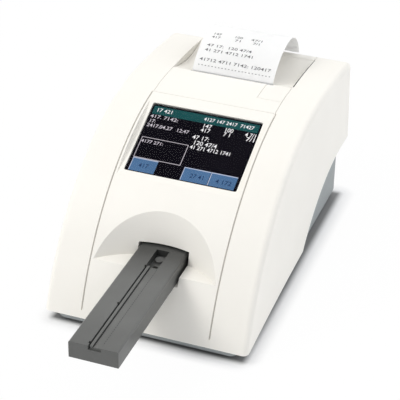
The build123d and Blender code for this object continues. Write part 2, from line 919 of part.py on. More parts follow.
# Release button in the panel's rear right corner, with the foot that presses the latch
frame_outer = frame_inner + frame_sheet
latch_left = frame_outer + latch_gap
latch_right = latch_left + latch_thickness
with BuildPart() as lid_release_button:
    add(top_skin & slab(button_left, panel_half, button_front, panel_back, skirt_foot, 2 * cover_height))
    add(
        slab(
            -tear_half, tear_half + seam_gap, panel_back - tear_thickness - seam_gap, slot,
            skirt_foot, 2 * cover_height,
        ),
        mode=Mode.SUBTRACT,
    )
    press_back = latch_pivot[0] - latch_arm
    add(
        slab(
            latch_left, latch_right, press_back - press_half, press_back + press_half,
            latch_arm_top + press_gap, roof(press_back, skin) + wall / 4,
        )
    )
lid_release_button.part.label = "lid_release_button"
export_step(lid_release_button.part, "parts/lid_release_button.step")


def coil(plane, radius, wire, length, turns):
    """A compression spring of round wire that stands on the plane along its normal."""
    with BuildPart() as spring:
        with BuildLine():
            path = Helix(
                (length - 2 * wire) / turns, length - 2 * wire, radius - wire,
                center=plane.offset(wire).origin, direction=plane.z_dir,
            )
        with BuildSketch(Plane(origin=path @ 0, z_dir=path % 0)):
            RegularPolygon(wire, 6)
        sweep(path=path, is_frenet=True)
    return spring.part


spring_x, spring_back = button_spring_spot
spring_foot = button_spring_seat + spring_slack
button_spring = coil(
    Plane(origin=(spring_x, front_y + spring_back, sill + spring_foot)),
    spring_radius, spring_wire, roof(spring_back, skin) - spring_foot - spring_slack, 5,
)
button_spring.label = "button_spring"
export_step(button_spring, "parts/button_spring.step")

# Latch lever beside the printer frame and its pin
with BuildPart() as lid_latch:
    with BuildSketch(side.offset(latch_left)):
        with BuildLine():
            Polyline(
                (latch_pivot[0] - latch_arm - 2.5, latch_arm_top - 2.5),
                (latch_pivot[0] - 3, latch_pivot[1] - 2.8),
                (latch_pivot[0] + 3, latch_pivot[1] - 2.8),
                (latch_nose - 3.4, latch_pivot[1] + 8.0),
                (latch_nose, latch_pivot[1] + 8.6),
                (latch_nose - 0.6, latch_pivot[1] + 10.6),
                (latch_nose - 5.4, latch_pivot[1] + 10.6),
                (latch_pivot[0] + 0.8, latch_arm_top),
                (latch_pivot[0] - latch_arm - 2.5, latch_arm_top),
                close=True,
            )
        make_face()
        with Locations(latch_pivot):
            Circle(platen_shaft + running_fit, mode=Mode.SUBTRACT)
    extrude(amount=latch_right - latch_left)
lid_latch.part.label = "lid_latch"
export_step(lid_latch.part, "parts/lid_latch.step")


def stub_pin(centre, root, tip, head_radius):
    """A headed pivot pin along X from its root in the frame's cheek out to its head."""
    hand = 1 if tip > root else -1
    with BuildPart() as pin:
        with BuildSketch(side.offset(root)):
            with Locations(centre):
                Circle(platen_shaft)
        extrude(amount=tip - root)
        with BuildSketch(side.offset(tip)):
            with Locations(centre):
                Circle(head_radius)
        extrude(amount=-hand * (pin_head - body_gap))
    return pin.part


latch_pin = stub_pin(latch_pivot, frame_inner, latch_right + pin_head, pin_head_radius)
latch_pin.label = "latch_pin"
export_step(latch_pin, "parts/latch_pin.step")


def under_lid(middle, width, front, back, low):
    """Rib under the lid's sunk surface, about a middle in X, between two ends and down to a height."""
    with BuildPart() as rib:
        with BuildSketch(side.offset(middle)):
            with BuildLine():
                ThreePointArc((lid_front, lid_front_top), valley, (crease, crease_top))
                Polyline((crease, crease_top), (crease, low), (lid_front, low), (lid_front, lid_front_top))
            make_face()
            with Locations(((front + back) / 2, low)):
                Rectangle(back - front, cover_height, mode=Mode.INTERSECT)
        extrude(amount=width / 2, both=True)
    return rib.part


# Paper lid: a sunk panel with side lips, the hinge knuckle, platen cheeks and the catch lug
with BuildPart() as paper_lid:
    with BuildSketch(side):
        with BuildLine():
            ThreePointArc((lid_front, lid_front_top), valley, (crease, crease_top))
            Polyline(
                (crease, crease_top), (crease + lid_step, roof(crease + lid_step)),
                (hinge[0], hinge[1] + knuckle_radius),
            )
            knuckle = CenterArc(hinge, knuckle_radius, 90, -250)
            Line(knuckle @ 1, (crease - lid_step, crease_top - skin))
            ThreePointArc(
                (crease - lid_step, crease_top - skin),
                (valley[0], valley[1] - skin),
                (lid_front, lid_front_top - skin),
            )
            Line((lid_front, lid_front_top - skin), (lid_front, lid_front_top))
        make_face()
    extrude(amount=lid_half, both=True)
    for hand in (-1, 1):
        add(under_lid(hand * (lid_half - lid_lip / 2), lid_lip, lid_front, crease, lid_lip_foot))
        add(
            under_lid(
                hand * (cheek_inner + cheek_thickness / 2), cheek_thickness,
                platen[0] - cheek_reach, platen[0] + cheek_reach, platen[1] - cheek_reach,
            )
        )
    add(
        under_lid(
            (latch_left + latch_right) / 2, latch_right - latch_left, latch_nose + lug_gap,
            latch_nose + lug_gap + lug_thickness, latch_pivot[1] + lug_foot,
        )
    )
    with BuildSketch(side):
        with Locations(hinge):
            Circle(pin_radius + running_fit)
    extrude(amount=cover_half_foot, both=True, mode=Mode.SUBTRACT)
    with BuildSketch(side):
        with Locations(platen):
            Circle(bush_radius)
    extrude(amount=cheek_inner + cheek_thickness + 1, both=True, mode=Mode.SUBTRACT)
paper_lid.part.label = "paper_lid"
export_step(paper_lid.part, "parts/paper_lid.step")

with BuildPart() as lid_hinge_pin:
    with BuildSketch(side):
        with Locations(hinge):
            Circle(pin_radius)
    extrude(amount=opening_half + skirt, both=True)
lid_hinge_pin.part.label = "lid_hinge_pin"
export_step(lid_hinge_pin.part, "parts/lid_hinge_pin.step")

# Platen with its shaft, bushes and gear, carried by the lid
shaft_left = -frame_outer - 2 * body_gap - gear_face
shaft_right = frame_inner - 3 * body_gap
with BuildPart() as platen_roller:
    with BuildSketch(side):
        with Locations(platen):
            Circle(platen_radius)
            Circle(platen_shaft, mode=Mode.SUBTRACT)
    extrude(amount=platen_half, both=True)
platen_roller.part.label = "platen_roller"
export_step(platen_roller.part, "parts/platen_roller.step")

with BuildPart() as platen_spindle:
    with BuildSketch(side.offset(shaft_left)):
        with Locations(platen):
            Circle(platen_shaft)
    extrude(amount=shaft_right - shaft_left)
platen_spindle.part.label = "platen_spindle"
export_step(platen_spindle.part, "parts/platen_spindle.step")

with BuildPart() as platen_bushes:
    for hand in (-1, 1):
        with BuildSketch(side.offset(hand * (cheek_inner - bush_flange))):
            with Locations(platen):
                Circle(bush_radius + bush_flange)
        extrude(amount=hand * bush_flange)
        with BuildSketch(side.offset(hand * cheek_inner)):
            with Locations(platen):
                Circle(bush_radius)
        extrude(amount=hand * cheek_thickness)
    with BuildSketch(side):
        with Locations(platen):
            Circle(platen_shaft + running_fit)
    extrude(amount=cover_half_foot, both=True, mode=Mode.SUBTRACT)
platen_bushes.part.label = "platen_bushes"
export_step(platen_bushes.part, "parts/platen_bushes.step")

with BuildPart() as platen_gear:
    with BuildSketch(side.offset(shaft_left)):
        gear_outline(platen, platen_teeth, idler_angle)
        with Locations(platen):
            Circle(platen_shaft, mode=Mode.SUBTRACT)
    extrude(amount=gear_face)
platen_gear.part.label = "platen_gear"
export_step(platen_gear.part, "parts/platen_gear.step")

# Idler gear on its pin, and the motor with its gear
with BuildPart() as idler_gear:
    with BuildSketch(side.offset(shaft_left)):
        gear_outline(idler, idler_teeth, idler_phase)
        with Locations(idler):
            Circle(platen_shaft + running_fit, mode=Mode.SUBTRACT)
    extrude(amount=gear_face)
idler_gear.part.label = "idler_gear"
export_step(idler_gear.part, "parts/idler_gear.step")

idler_pin = stub_pin(idler, -frame_inner, shaft_left - pin_head, pin_head_radius)
idler_pin.label = "idler_pin"
export_step(idler_pin, "parts/idler_pin.step")

with BuildPart() as printer_motor:
    with BuildSketch(side.offset(-frame_inner)):
        with Locations(motor):
            Circle(printer_motor_radius)
    extrude(amount=printer_motor_length)
    chamfer(printer_motor.faces().sort_by(Axis.X)[-1].edges(), motor_edge)
    with BuildSketch(side.offset(-frame_inner)):
        with Locations(motor):
            Circle(gear_shaft + running_fit)
    extrude(amount=motor_bore_depth, mode=Mode.SUBTRACT)
printer_motor.part.label = "printer_motor"
export_step(printer_motor.part, "parts/printer_motor.step")

with BuildPart() as motor_gear:
    with BuildSketch(side.offset(shaft_left)):
        gear_outline(motor, motor_teeth, motor_phase)
    extrude(amount=gear_face)
    with BuildSketch(side.offset(shaft_left)):
        with Locations(motor):
            Circle(gear_shaft)
    extrude(amount=motor_bore_depth - motor_edge - frame_inner - shaft_left)
motor_gear.part.label = "motor_gear"
export_step(motor_gear.part, "parts/motor_gear.step")

# Print head, pushed against the paper by two springs
head_face = platen[0] - platen_radius - body_gap
head_back = head_face - head_thickness
head_pivot = (head_back + head_thickness / 2, head_foot + head_pivot_rise)
spring_wall = head_back - spring_wall_gap
spring_wall_rear = spring_wall + frame_sheet
with BuildPart() as print_head:
    with BuildSketch(side):
        with BuildLine():
            Polyline(
                (head_back, head_foot), (head_face - 1, head_foot), (head_face, head_foot + 3),
                (head_face, head_top - 2), (head_face - 1.2, head_top), (head_back, head_top), close=True,
            )
        make_face()
    extrude(amount=head_half, both=True)
    with BuildSketch(side):
        with Locations(head_pivot):
            Circle(head_pivot_radius)
    extrude(amount=frame_inner, both=True)
print_head.part.label = "print_head"
export_step(print_head.part, "parts/print_head.step")

with BuildPart() as head_springs:
    for x in (-spring_spot_x, spring_spot_x):
        spring_seat = Plane(
            origin=(x, front_y + spring_wall_rear + spring_slack, sill + spring_spot_height),
            x_dir=(1, 0, 0), z_dir=(0, 1, 0),
        )
        spring_length = head_back - spring_wall_rear - 2 * spring_slack
        add(coil(spring_seat, spring_radius, spring_wire, spring_length, 3))
head_springs.part.label = "head_springs"
export_step(head_springs.part, "parts/head_springs.step")

# Printer frame of bent sheet, hung from the cover's bosses
with BuildPart() as printer_frame:
    for hand in (-1, 1):
        with BuildSketch(side.offset(hand * frame_inner)):
            with BuildLine():
                Polyline(
                    (frame_front, frame_foot + 18), (frame_front, frame_top - 2),
                    (frame_front + 3, frame_top), (head_face - 1, frame_top),
                    (head_face, frame_shoulder), (frame_rear, frame_shoulder),
                    (frame_rear, frame_foot + 8), (frame_rear - 8, frame_foot),
                    (frame_front + 24, frame_foot), close=True,
                )
            make_face()
        extrude(amount=hand * frame_sheet)
        for ear in (ear_front, ear_rear):
            limits = sorted((hand * frame_outer, hand * ear_reach))
            add(
                slab(
                    *limits, ear - ear_length / 2, ear + ear_length / 2, ear_height, ear_height + frame_sheet
                )
            )
    add(
        slab(
            -frame_inner, frame_inner, frame_front, frame_front + frame_sheet,
            frame_foot + 20, frame_top - 4,
        )
    )
    add(
        slab(
            spring_wall_left, frame_inner, spring_wall, spring_wall_rear,
            head_foot - spring_wall_foot, frame_top,
        )
    )
    add(
        slab(
            spring_x - button_spring_shelf[0], frame_inner, spring_back - button_spring_shelf[1],
            spring_wall_rear, button_spring_seat - frame_sheet, button_spring_seat,
        )
    )
    with BuildSketch(plan.offset(ear_height)):
        for ear in (ear_front, ear_rear):
            with Locations((printer_boss_x, ear), (-printer_boss_x, ear)):
                Circle(screw_radius)
    extrude(amount=frame_sheet, mode=Mode.SUBTRACT)
    with BuildSketch(side.offset(-frame_outer)):
        with Locations(idler):
            Circle(platen_shaft)
        with Locations(motor):
            Circle(gear_shaft + motor_collar)
    extrude(amount=frame_sheet, mode=Mode.SUBTRACT)
    with BuildSketch(side.offset(frame_inner)):
        with Locations(latch_pivot):
            Circle(platen_shaft)
    extrude(amount=frame_sheet, mode=Mode.SUBTRACT)
printer_frame.part.label = "printer_frame"
export_step(printer_frame.part, "parts/printer_frame.step")

printer_screws = screws(
    downward(ear_height),
    [(x, ear) for x in (-printer_boss_x, printer_boss_x) for ear in (ear_front, ear_rear)],
    frame_sheet + printer_grip,
)
printer_screws.label = "printer_screws"
export_step(printer_screws, "parts/printer_screws.step")

# Paper bucket, a trough with a straight front wall beside the paper's way up to the platen
run_y = platen[0] - roll_back
run_z = platen[1] - roll_height
run = math.hypot(run_y, run_z)
lean = (roll_radius - platen_radius) / run
cross = math.sqrt(1 - lean**2)
web_out = ((lean * run_y - cross * run_z) / run, (lean * run_z + cross * run_y) / run)
web_up = (web_out[1], -web_out[0])
web_length = cross * run
web_angle = math.degrees(math.atan2(web_out[1], web_out[0]))
bucket_centre = (roll_back, roll_height + bucket_radius - roll_radius - body_gap)


def trough(radius, half, top):
    """The bucket's form out to a radius and a half width, cut off level at the top."""
    foot = (bucket_centre[0] + radius * web_out[0], bucket_centre[1] + radius * web_out[1])
    climb = (top - foot[1]) / web_up[1]
    with BuildPart() as form:
        with BuildSketch(side):
            with BuildLine():
                CenterArc(bucket_centre, radius, 0, web_angle)
                Polyline(
                    foot, (foot[0] + climb * web_up[0], top), (bucket_centre[0] + radius, top),
                    (bucket_centre[0] + radius, bucket_centre[1]),
                )
            make_face()
        extrude(amount=half, both=True)
    return form.part


with BuildPart() as paper_bucket:
    add(trough(bucket_radius + bucket_wall, bucket_half + bucket_wall, bucket_top))
    add(trough(bucket_radius, bucket_half, cover_height), mode=Mode.SUBTRACT)
    for hand in (-1, 1):
        with BuildSketch(side.offset(hand * (bucket_half + bucket_wall))):
            with Locations(bucket_centre):
                with GridLocations(bucket_boss_spread, 0, 2, 1):
                    Circle(boss_radius)
        extrude(amount=hand * (frame_inner - bucket_half - bucket_wall))
paper_bucket.part.label = "paper_bucket"
export_step(paper_bucket.part, "parts/paper_bucket.step")

with BuildPart() as paper_roll:
    with BuildSketch(side):
        with Locations((roll_back, roll_height)):
            Circle(roll_radius)
            Circle(core_radius, mode=Mode.SUBTRACT)
    extrude(amount=paper_half, both=True)
paper_roll.part.label = "paper_roll"
export_step(paper_roll.part, "parts/paper_roll.step")

with BuildPart() as roll_core:
    with BuildSketch(side):
        with Locations((roll_back, roll_height)):
            Circle(core_radius)
            Circle(core_bore, mode=Mode.SUBTRACT)
    extrude(amount=paper_half, both=True)
roll_core.part.label = "roll_core"
export_step(roll_core.part, "parts/roll_core.step")

# Paper on its way from the roll to the platen
web_reach = roll_radius + body_gap
web_foot = (roll_back + web_reach * web_out[0], roll_height + web_reach * web_out[1])
web_top = web_length - platen_radius - 1
with BuildPart() as paper_web:
    with BuildSketch(side):
        with BuildLine():
            Polyline(
                web_foot,
                (web_foot[0] + web_top * web_up[0], web_foot[1] + web_top * web_up[1]),
                (
                    web_foot[0] + web_top * web_up[0] + paper_thickness * web_out[0],
                    web_foot[1] + web_top * web_up[1] + paper_thickness * web_out[1],
                ),
                (web_foot[0] + paper_thickness * web_out[0], web_foot[1] + paper_thickness * web_out[1]),
                close=True,
            )
        make_face()
    extrude(amount=paper_half, both=True)
paper_web.part.label = "paper_web"
export_step(paper_web.part, "parts/paper_web.step")

# Printed strip that comes out of the slot and curls back over the lid
strip_back = slot + 0.1
strip_foot = head_top + 1.2
strip_bend = roof(slot) + 0.2
rise = paper_peak - strip_bend
reach = paper_peak_back - strip_back
climb_radius = (reach**2 + rise**2) / (2 * rise)
fall = paper_peak - paper_end
span = paper_end_back - paper_peak_back
fall_radius = (span**2 + fall**2) / (2 * fall)
climb_angle = math.degrees(math.asin(reach / climb_radius))
fall_angle = math.degrees(math.asin(min(1.0, span / fall_radius)))
with BuildPart() as paper_strip:
    with BuildSketch(side):
        with BuildLine():
            Line((strip_back, strip_foot), (strip_back, strip_bend))
            CenterArc(
                (paper_peak_back, paper_peak - climb_radius), climb_radius, 90 + climb_angle, -climb_angle
            )
            CenterArc((paper_peak_back, paper_peak - fall_radius), fall_radius, 90, -fall_angle)
        trace(line_width=paper_thickness)
    extrude(amount=paper_half, both=True)
paper_strip.part.label = "paper_strip"
export_step(paper_strip.part, "parts/paper_strip.step")

# Strip tray, drawn out as in use
rack_front = pinion_back - tray_travel - rack_ahead
rack_rear = pinion_back + rack_behind
above_tray = tray_top + tray_edge
with BuildPart() as strip_tray:
    add(slab(-tray_half, tray_half, -tray_reach, tray_inner, tray_bottom, tray_top))
    chamfer(strip_tray.faces().sort_by(Axis.Z)[-1].edges().filter_by(Axis.Y), tray_edge)
    add(
        slab(seat_left, seat_right, -tray_reach, pocket_front, tray_top - seat_depth, above_tray),
        mode=Mode.SUBTRACT,
    )
    for back in notch_backs:
        add(
            slab(
                seat_left - notch_width, seat_left, back - notch_length / 2, back + notch_length / 2,
                tray_top - seat_depth, above_tray,
            ),
            mode=Mode.SUBTRACT,
        )
    add(
        slab(
            pocket_left, pocket_right, pocket_front - pocket_lap, pocket_back,
            tray_top - pocket_depth, above_tray,
        ),
        mode=Mode.SUBTRACT,
    )
    with BuildSketch(plan.offset(tray_top)):
        with Locations(((pocket_left + pocket_right) / 2, drain_back)):
            Circle(drain_radius)
    extrude(amount=-tray_height, mode=Mode.SUBTRACT)
    # Groove for the rack, and moulding pockets on both sides of it
    add(
        slab(
            -rack_half - rack_fit, rack_half + rack_fit, rack_front - rack_fit, rack_rear + rack_fit,
            tray_bottom - rack_fit, rack_top,
        ),
        mode=Mode.SUBTRACT,
    )
    core_x = (tray_half + rack_half) / 2
    core_back = (tray_inner - tray_reach) / 2
    with BuildSketch(plan.offset(tray_bottom)):
        with Locations((-core_x, core_back), (core_x, core_back)):
            with GridLocations(0, core_pitch, 1, core_count):
                Rectangle(tray_half - rack_half - 2 * core_wall, core_length)
    extrude(amount=tray_height - core_roof, mode=Mode.SUBTRACT)
strip_tray.part.label = "strip_tray"
export_step(strip_tray.part, "parts/strip_tray.step")

rack_root = rack_line + 1.25 * gear_module
rack_tip = rack_line - 0.9 * gear_module
first_tooth = math.ceil((rack_front - pinion_back) / tooth_pitch)
last_tooth = math.floor((rack_rear - pinion_back) / tooth_pitch) - 1
with BuildPart() as tray_rack:
    add(slab(-rack_half, rack_half, rack_front, rack_rear, rack_root, rack_top))
    with BuildSketch(side.offset(-rack_half)):
        for tooth in range(first_tooth, last_tooth + 1):
            with Locations((pinion_back + (tooth + 0.5) * tooth_pitch, 0)):
                Polygon(
                    (-root_width / 2, rack_root + rack_fit), (root_width / 2, rack_root + rack_fit),
                    (root_width / 2, rack_root), (tip_width / 2, rack_tip),
                    (-tip_width / 2, rack_tip), (-root_width / 2, rack_root), align=None,
                )
    extrude(amount=2 * rack_half)
tray_rack.part.label = "tray_rack"
export_step(tray_rack.part, "parts/tray_rack.step")

# Seat for the test strip, with a ridge and a slit on its left, and the calibration pad behind it
seat_floor_left = seat_left + seat_groove + seat_ridge
with BuildPart() as strip_seat:
    add(
        slab(
            seat_left + seat_groove, seat_right - seat_fit, -tray_reach + seat_front_gap,
            pocket_front - seat_back_gap, tray_top - seat_depth, tray_top - seat_sink,
        )
    )
    for right, depth in ((seat_right, seat_floor_depth), (seat_floor_left + seat_slit, seat_slit_depth)):
        add(
            slab(seat_floor_left, right, -tray_reach, pocket_front, tray_top - depth, above_tray),
            mode=Mode.SUBTRACT,
        )
strip_seat.part.label = "strip_seat"
export_step(strip_seat.part, "parts/strip_seat.step")

with BuildPart() as calibration_pad:
    with BuildSketch(plan.offset(tray_top - pocket_depth)):
        with Locations(((pocket_left + pocket_right) / 2, pad_back)):
            Circle(pad_radius)
    extrude(amount=pad_thickness)
    chamfer(calibration_pad.faces().sort_by(Axis.Z)[-1].edges(), pad_edge)
calibration_pad.part.label = "calibration_pad"
export_step(calibration_pad.part, "parts/calibration_pad.step")

# Guide that carries the tray's inner end, the motor and the optical head
guide_inner = tray_half + guide_gap
guide_outer = guide_inner + guide_wall
guide_top = tray_top + optics_lift
pinion_pitch = gear_module * pinion_teeth / 2
pinion = (pinion_back, rack_line - pinion_pitch)
motor_cheek = tray_motor_radius + guide_wall
pinion_room = pinion_pitch + guide_wall
with BuildPart() as tray_guide:
    add(slab(-guide_outer, guide_outer, guide_front, guide_rear, guide_foot, guide_foot + guide_floor))
    for hand in (-1, 1):
        upright = sorted((hand * guide_inner, hand * guide_outer))
        flange = sorted((hand * guide_inner, hand * optics_half))
        ear = sorted((hand * guide_inner, hand * (guide_post_x + guide_ear)))
        add(slab(*upright, guide_front, guide_rear, guide_foot, guide_top))
        add(slab(*flange, optics_front, optics_back, guide_top - guide_wall, guide_top))
        for back in (guide_post_front, guide_post_rear):
            add(slab(*ear, back - guide_ear, back + guide_ear, guide_foot, guide_foot + guide_floor))
    add(
        slab(
            guide_inner, guide_outer, pinion_back - motor_cheek, pinion_back + motor_cheek,
            pinion[1] - motor_cheek, guide_top,
        )
    )
    add(
        slab(
            -pinion_half - body_gap, pinion_half + body_gap, pinion_back - pinion_room,
            pinion_back + pinion_room, guide_foot - guide_gap, guide_foot + guide_floor + guide_gap,
        ),
        mode=Mode.SUBTRACT,
    )
    with BuildSketch(side.offset(guide_inner)):
        with Locations(pinion):
            Circle(tray_shaft + 2 * body_gap)
    extrude(amount=guide_wall, mode=Mode.SUBTRACT)
    with BuildSketch(plan.offset(guide_foot)):
        for back in (guide_post_front, guide_post_rear):
            with Locations((guide_post_x, back), (-guide_post_x, back)):
                Circle(screw_radius)
    extrude(amount=guide_floor, mode=Mode.SUBTRACT)
tray_guide.part.label = "tray_guide"
export_step(tray_guide.part, "parts/tray_guide.step")

guide_screws = screws(
    plan.offset(guide_foot + guide_floor),
    [(x, back) for x in (-guide_post_x, guide_post_x) for back in (guide_post_front, guide_post_rear)],
    guide_floor + guide_grip,
)
guide_screws.label = "guide_screws"
export_step(guide_screws, "parts/guide_screws.step")

with BuildPart() as tray_pinion:
    with BuildSketch(side.offset(-pinion_half)):
        gear_outline(pinion, pinion_teeth, 90)
    extrude(amount=2 * pinion_half)
    with BuildSketch(side.offset(-pinion_half)):
        with Locations(pinion):
            Circle(tray_shaft)
    extrude(amount=pinion_half + guide_outer + motor_bore_depth)
tray_pinion.part.label = "tray_pinion"
export_step(tray_pinion.part, "parts/tray_pinion.step")

flange_length, flange_width, flange_thickness = tray_motor_flange
with BuildPart() as tray_motor:
    with BuildSketch(side.offset(guide_outer)):
        with Locations(pinion):
            SlotOverall(flange_length, flange_width)
    extrude(amount=flange_thickness)
    with BuildSketch(side.offset(guide_outer + flange_thickness)):
        with Locations(pinion):
            Circle(tray_motor_radius)
    extrude(amount=tray_motor_length)
    chamfer(tray_motor.faces().sort_by(Axis.X)[-1].edges(), motor_edge)
    with BuildSketch(side.offset(guide_outer)):
        with Locations(pinion):
            Circle(tray_shaft + running_fit)
    extrude(amount=motor_bore_depth + motor_edge, mode=Mode.SUBTRACT)
tray_motor.part.label = "tray_motor"
export_step(tray_motor.part, "parts/tray_motor.step")

# Optical head with its lens, lamps, detector and board
optics_top = guide_top + optics_height
slot_half, slot_reach, slot_depth = optics_slot
with BuildPart() as optical_head:
    add(slab(-optics_half, optics_half, optics_front, optics_back, guide_top, optics_top))
    chamfer(optical_head.edges().filter_by(Axis.Z), optics_corner)
    add(
        slab(
            -slot_half, slot_half, lens_back - slot_reach, lens_back + slot_reach,
            guide_top - slot_depth, guide_top + slot_depth,
        ),
        mode=Mode.SUBTRACT,
    )
    with BuildSketch(plan.offset(guide_top)):
        with Locations((0, lens_back)):
            Circle(lens_radius)
        with Locations((led_offset, lens_back), (-led_offset, lens_back)):
            Circle(led_radius)
    extrude(amount=optics_height, mode=Mode.SUBTRACT)
optical_head.part.label = "optical_head"
export_step(optical_head.part, "parts/optical_head.step")

with BuildPart() as optics_lens:
    with BuildSketch(plan.offset(guide_top + lens_lift)):
        with Locations((0, lens_back)):
            Circle(lens_radius)
    extrude(amount=lens_thickness)
    chamfer(optics_lens.faces().sort_by(Axis.Z)[0].edges(), lens_edge)
optics_lens.part.label = "optics_lens"
export_step(optics_lens.part, "parts/optics_lens.step")

inset_x, inset_back = optics_board_inset
with BuildPart() as optics_board:
    add(
        slab(
            inset_x - optics_half, optics_half - inset_x, optics_front + inset_back,
            optics_back - inset_back, optics_top, optics_top + board_thickness,
        )
    )
optics_board.part.label = "optics_board"
export_step(optics_board.part, "parts/optics_board.step")

with BuildPart() as optics_lamps:
    for x in (-led_offset, led_offset):
        with BuildSketch(plan.offset(optics_top)):
            with Locations((x, lens_back)):
                Circle(led_radius - led_fit)
        extrude(amount=-led_length)
    chamfer(optics_lamps.faces().sort_by(Axis.Z).group_by(Axis.Z)[0].edges(), led_edge)
optics_lamps.part.label = "optics_lamps"
export_step(optics_lamps.part, "parts/optics_lamps.step")

with BuildPart() as light_detector:
    with BuildSketch(plan.offset(optics_top)):
        with Locations((0, lens_back)):
            Rectangle(detector_size, detector_size)
    extrude(amount=-detector_depth)
light_detector.part.label = "light_detector"
export_step(light_detector.part, "parts/light_detector.step")

# Main board with its parts, sockets and screws
with BuildPart() as main_board:
    with BuildSketch(plan.offset(board_bottom)):
        with Locations((0, (board_front + board_rear) / 2)):
            RectangleRounded(2 * board_half, board_rear - board_front, board_corner)
        for back in (guide_post_front, guide_post_rear):
            with Locations((guide_post_x, back), (-guide_post_x, back)):
                Circle(post_radius + board_post_room, mode=Mode.SUBTRACT)
        for back in (board_post_front, board_post_rear):
            with Locations((board_post_x, back), (-board_post_x, back)):
                Circle(screw_radius, mode=Mode.SUBTRACT)
    extrude(amount=board_thickness)
main_board.part.label = "main_board"
export_step(main_board.part, "parts/main_board.step")

board_screws = screws(
    plan.offset(board_top),
    [(x, back) for x in (-board_post_x, board_post_x) for back in (board_post_front, board_post_rear)],
    board_thickness + board_grip,
)
board_screws.label = "board_screws"
export_step(board_screws, "parts/board_screws.step")

with BuildPart() as board_chips:
    for x, back, width, length, height in chips:
        with BuildSketch(plan.offset(board_top)):
            with Locations((x, back)):
                Rectangle(width, length)
        extrude(amount=height)
    with BuildSketch(plan.offset(board_top)):
        with Locations(*can_spots):
            Circle(can_radius)
    extrude(amount=can_height)
board_chips.part.label = "board_chips"
export_step(board_chips.part, "parts/board_chips.step")

port_back = base_rear - port_sink
port_face = rear_wall.offset(-port_sink)
with BuildPart() as power_jack:
    add(
        slab(
            jack_x - jack_size[0] / 2, jack_x + jack_size[0] / 2, port_back - jack_size[2], port_back,
            board_top, board_top + jack_size[1],
        )
    )
    with BuildSketch(port_face):
        with Locations((-jack_x, board_top + jack_size[1] / 2 + jack_raise)):
            Circle(jack_bore)
            Circle(jack_pin, mode=Mode.SUBTRACT)
    extrude(amount=-jack_depth, mode=Mode.SUBTRACT)
power_jack.part.label = "power_jack"
export_step(power_jack.part, "parts/power_jack.step")

tongue_width, tongue_thickness, tongue_raise = usb_tongue
with BuildPart() as usb_socket:
    add(
        slab(
            usb_x - usb_size[0] / 2, usb_x + usb_size[0] / 2, port_back - usb_size[2], port_back,
            board_top, board_top + usb_size[1],
        )
    )
    with BuildSketch(port_face):
        with Locations((-usb_x, board_top + usb_size[1] / 2)):
            Rectangle(usb_size[0] - 2 * usb_sheet, usb_size[1] - 2 * usb_sheet)
            with Locations((0, tongue_raise)):
                Rectangle(tongue_width, tongue_thickness, mode=Mode.SUBTRACT)
    extrude(amount=-usb_depth, mode=Mode.SUBTRACT)
usb_socket.part.label = "usb_socket"
export_step(usb_socket.part, "parts/usb_socket.step")

shell_width, shell_height, shell_sheet = serial_shell
with BuildPart() as serial_socket:
    add(
        slab(
            serial_x - serial_size[0] / 2, serial_x + serial_size[0] / 2, port_back - serial_size[2],
            port_back - serial_proud, board_top, board_top + serial_size[1],
        )
    )
    with BuildSketch(port_face.offset(-serial_proud)):
        with Locations((-serial_x, board_top + serial_size[1] / 2)):
            Trapezoid(shell_width, shell_height, serial_slope, serial_slope, rotation=180)
            Trapezoid(
                shell_width - 2 * shell_sheet, shell_height - 2 * shell_sheet, serial_slope, serial_slope,
                rotation=180, mode=Mode.SUBTRACT,
            )
            for row, count in serial_pins:
                with Locations((0, row)):
                    with GridLocations(serial_pitch, 0, count, 1):
                        Circle(serial_pin_radius)
    extrude(amount=serial_proud)
serial_socket.part.label = "serial_socket"
export_step(serial_socket.part, "parts/serial_socket.step")

# Power switch: its housing behind the rear wall, the button and the return spring
switch_inner = base_rear - base_wall
switch_face = rear_wall.offset(-base_wall)
with BuildPart() as switch_housing:
    with BuildSketch(switch_face):
        with Locations((-switch_x, switch_height)):
            Circle(switch_radius + port_gap + switch_wall)
    extrude(amount=-switch_depth)
    with BuildSketch(switch_face):
        with Locations((-switch_x, switch_height)):
            Circle(switch_radius + port_gap)
    extrude(amount=switch_base - switch_depth, mode=Mode.SUBTRACT)
switch_housing.part.label = "switch_housing"
export_step(switch_housing.part, "parts/switch_housing.step")

with BuildPart() as power_button:
    with BuildSketch(rear_wall.offset(switch_proud)):
        with Locations((-switch_x, switch_height)):
            Circle(switch_radius)
    extrude(amount=-switch_proud - base_wall - button_root)
    chamfer(power_button.faces().sort_by(Axis.Y)[-1].edges(), switch_edge)
power_button.part.label = "power_button"
export_step(power_button.part, "parts/power_button.step")

switch_spring = coil(
    Plane(
        origin=(switch_x, front_y + switch_inner - button_root, sill + switch_height),
        x_dir=(1, 0, 0), z_dir=(0, -1, 0),
    ),
    switch_spring_radius, spring_wire, switch_depth - switch_base - button_root - switch_travel, 4,
)
switch_spring.label = "switch_spring"
export_step(switch_spring, "parts/switch_spring.step")
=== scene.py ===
import json
import math

import bmesh
import bpy
from mathutils import Matrix, Vector

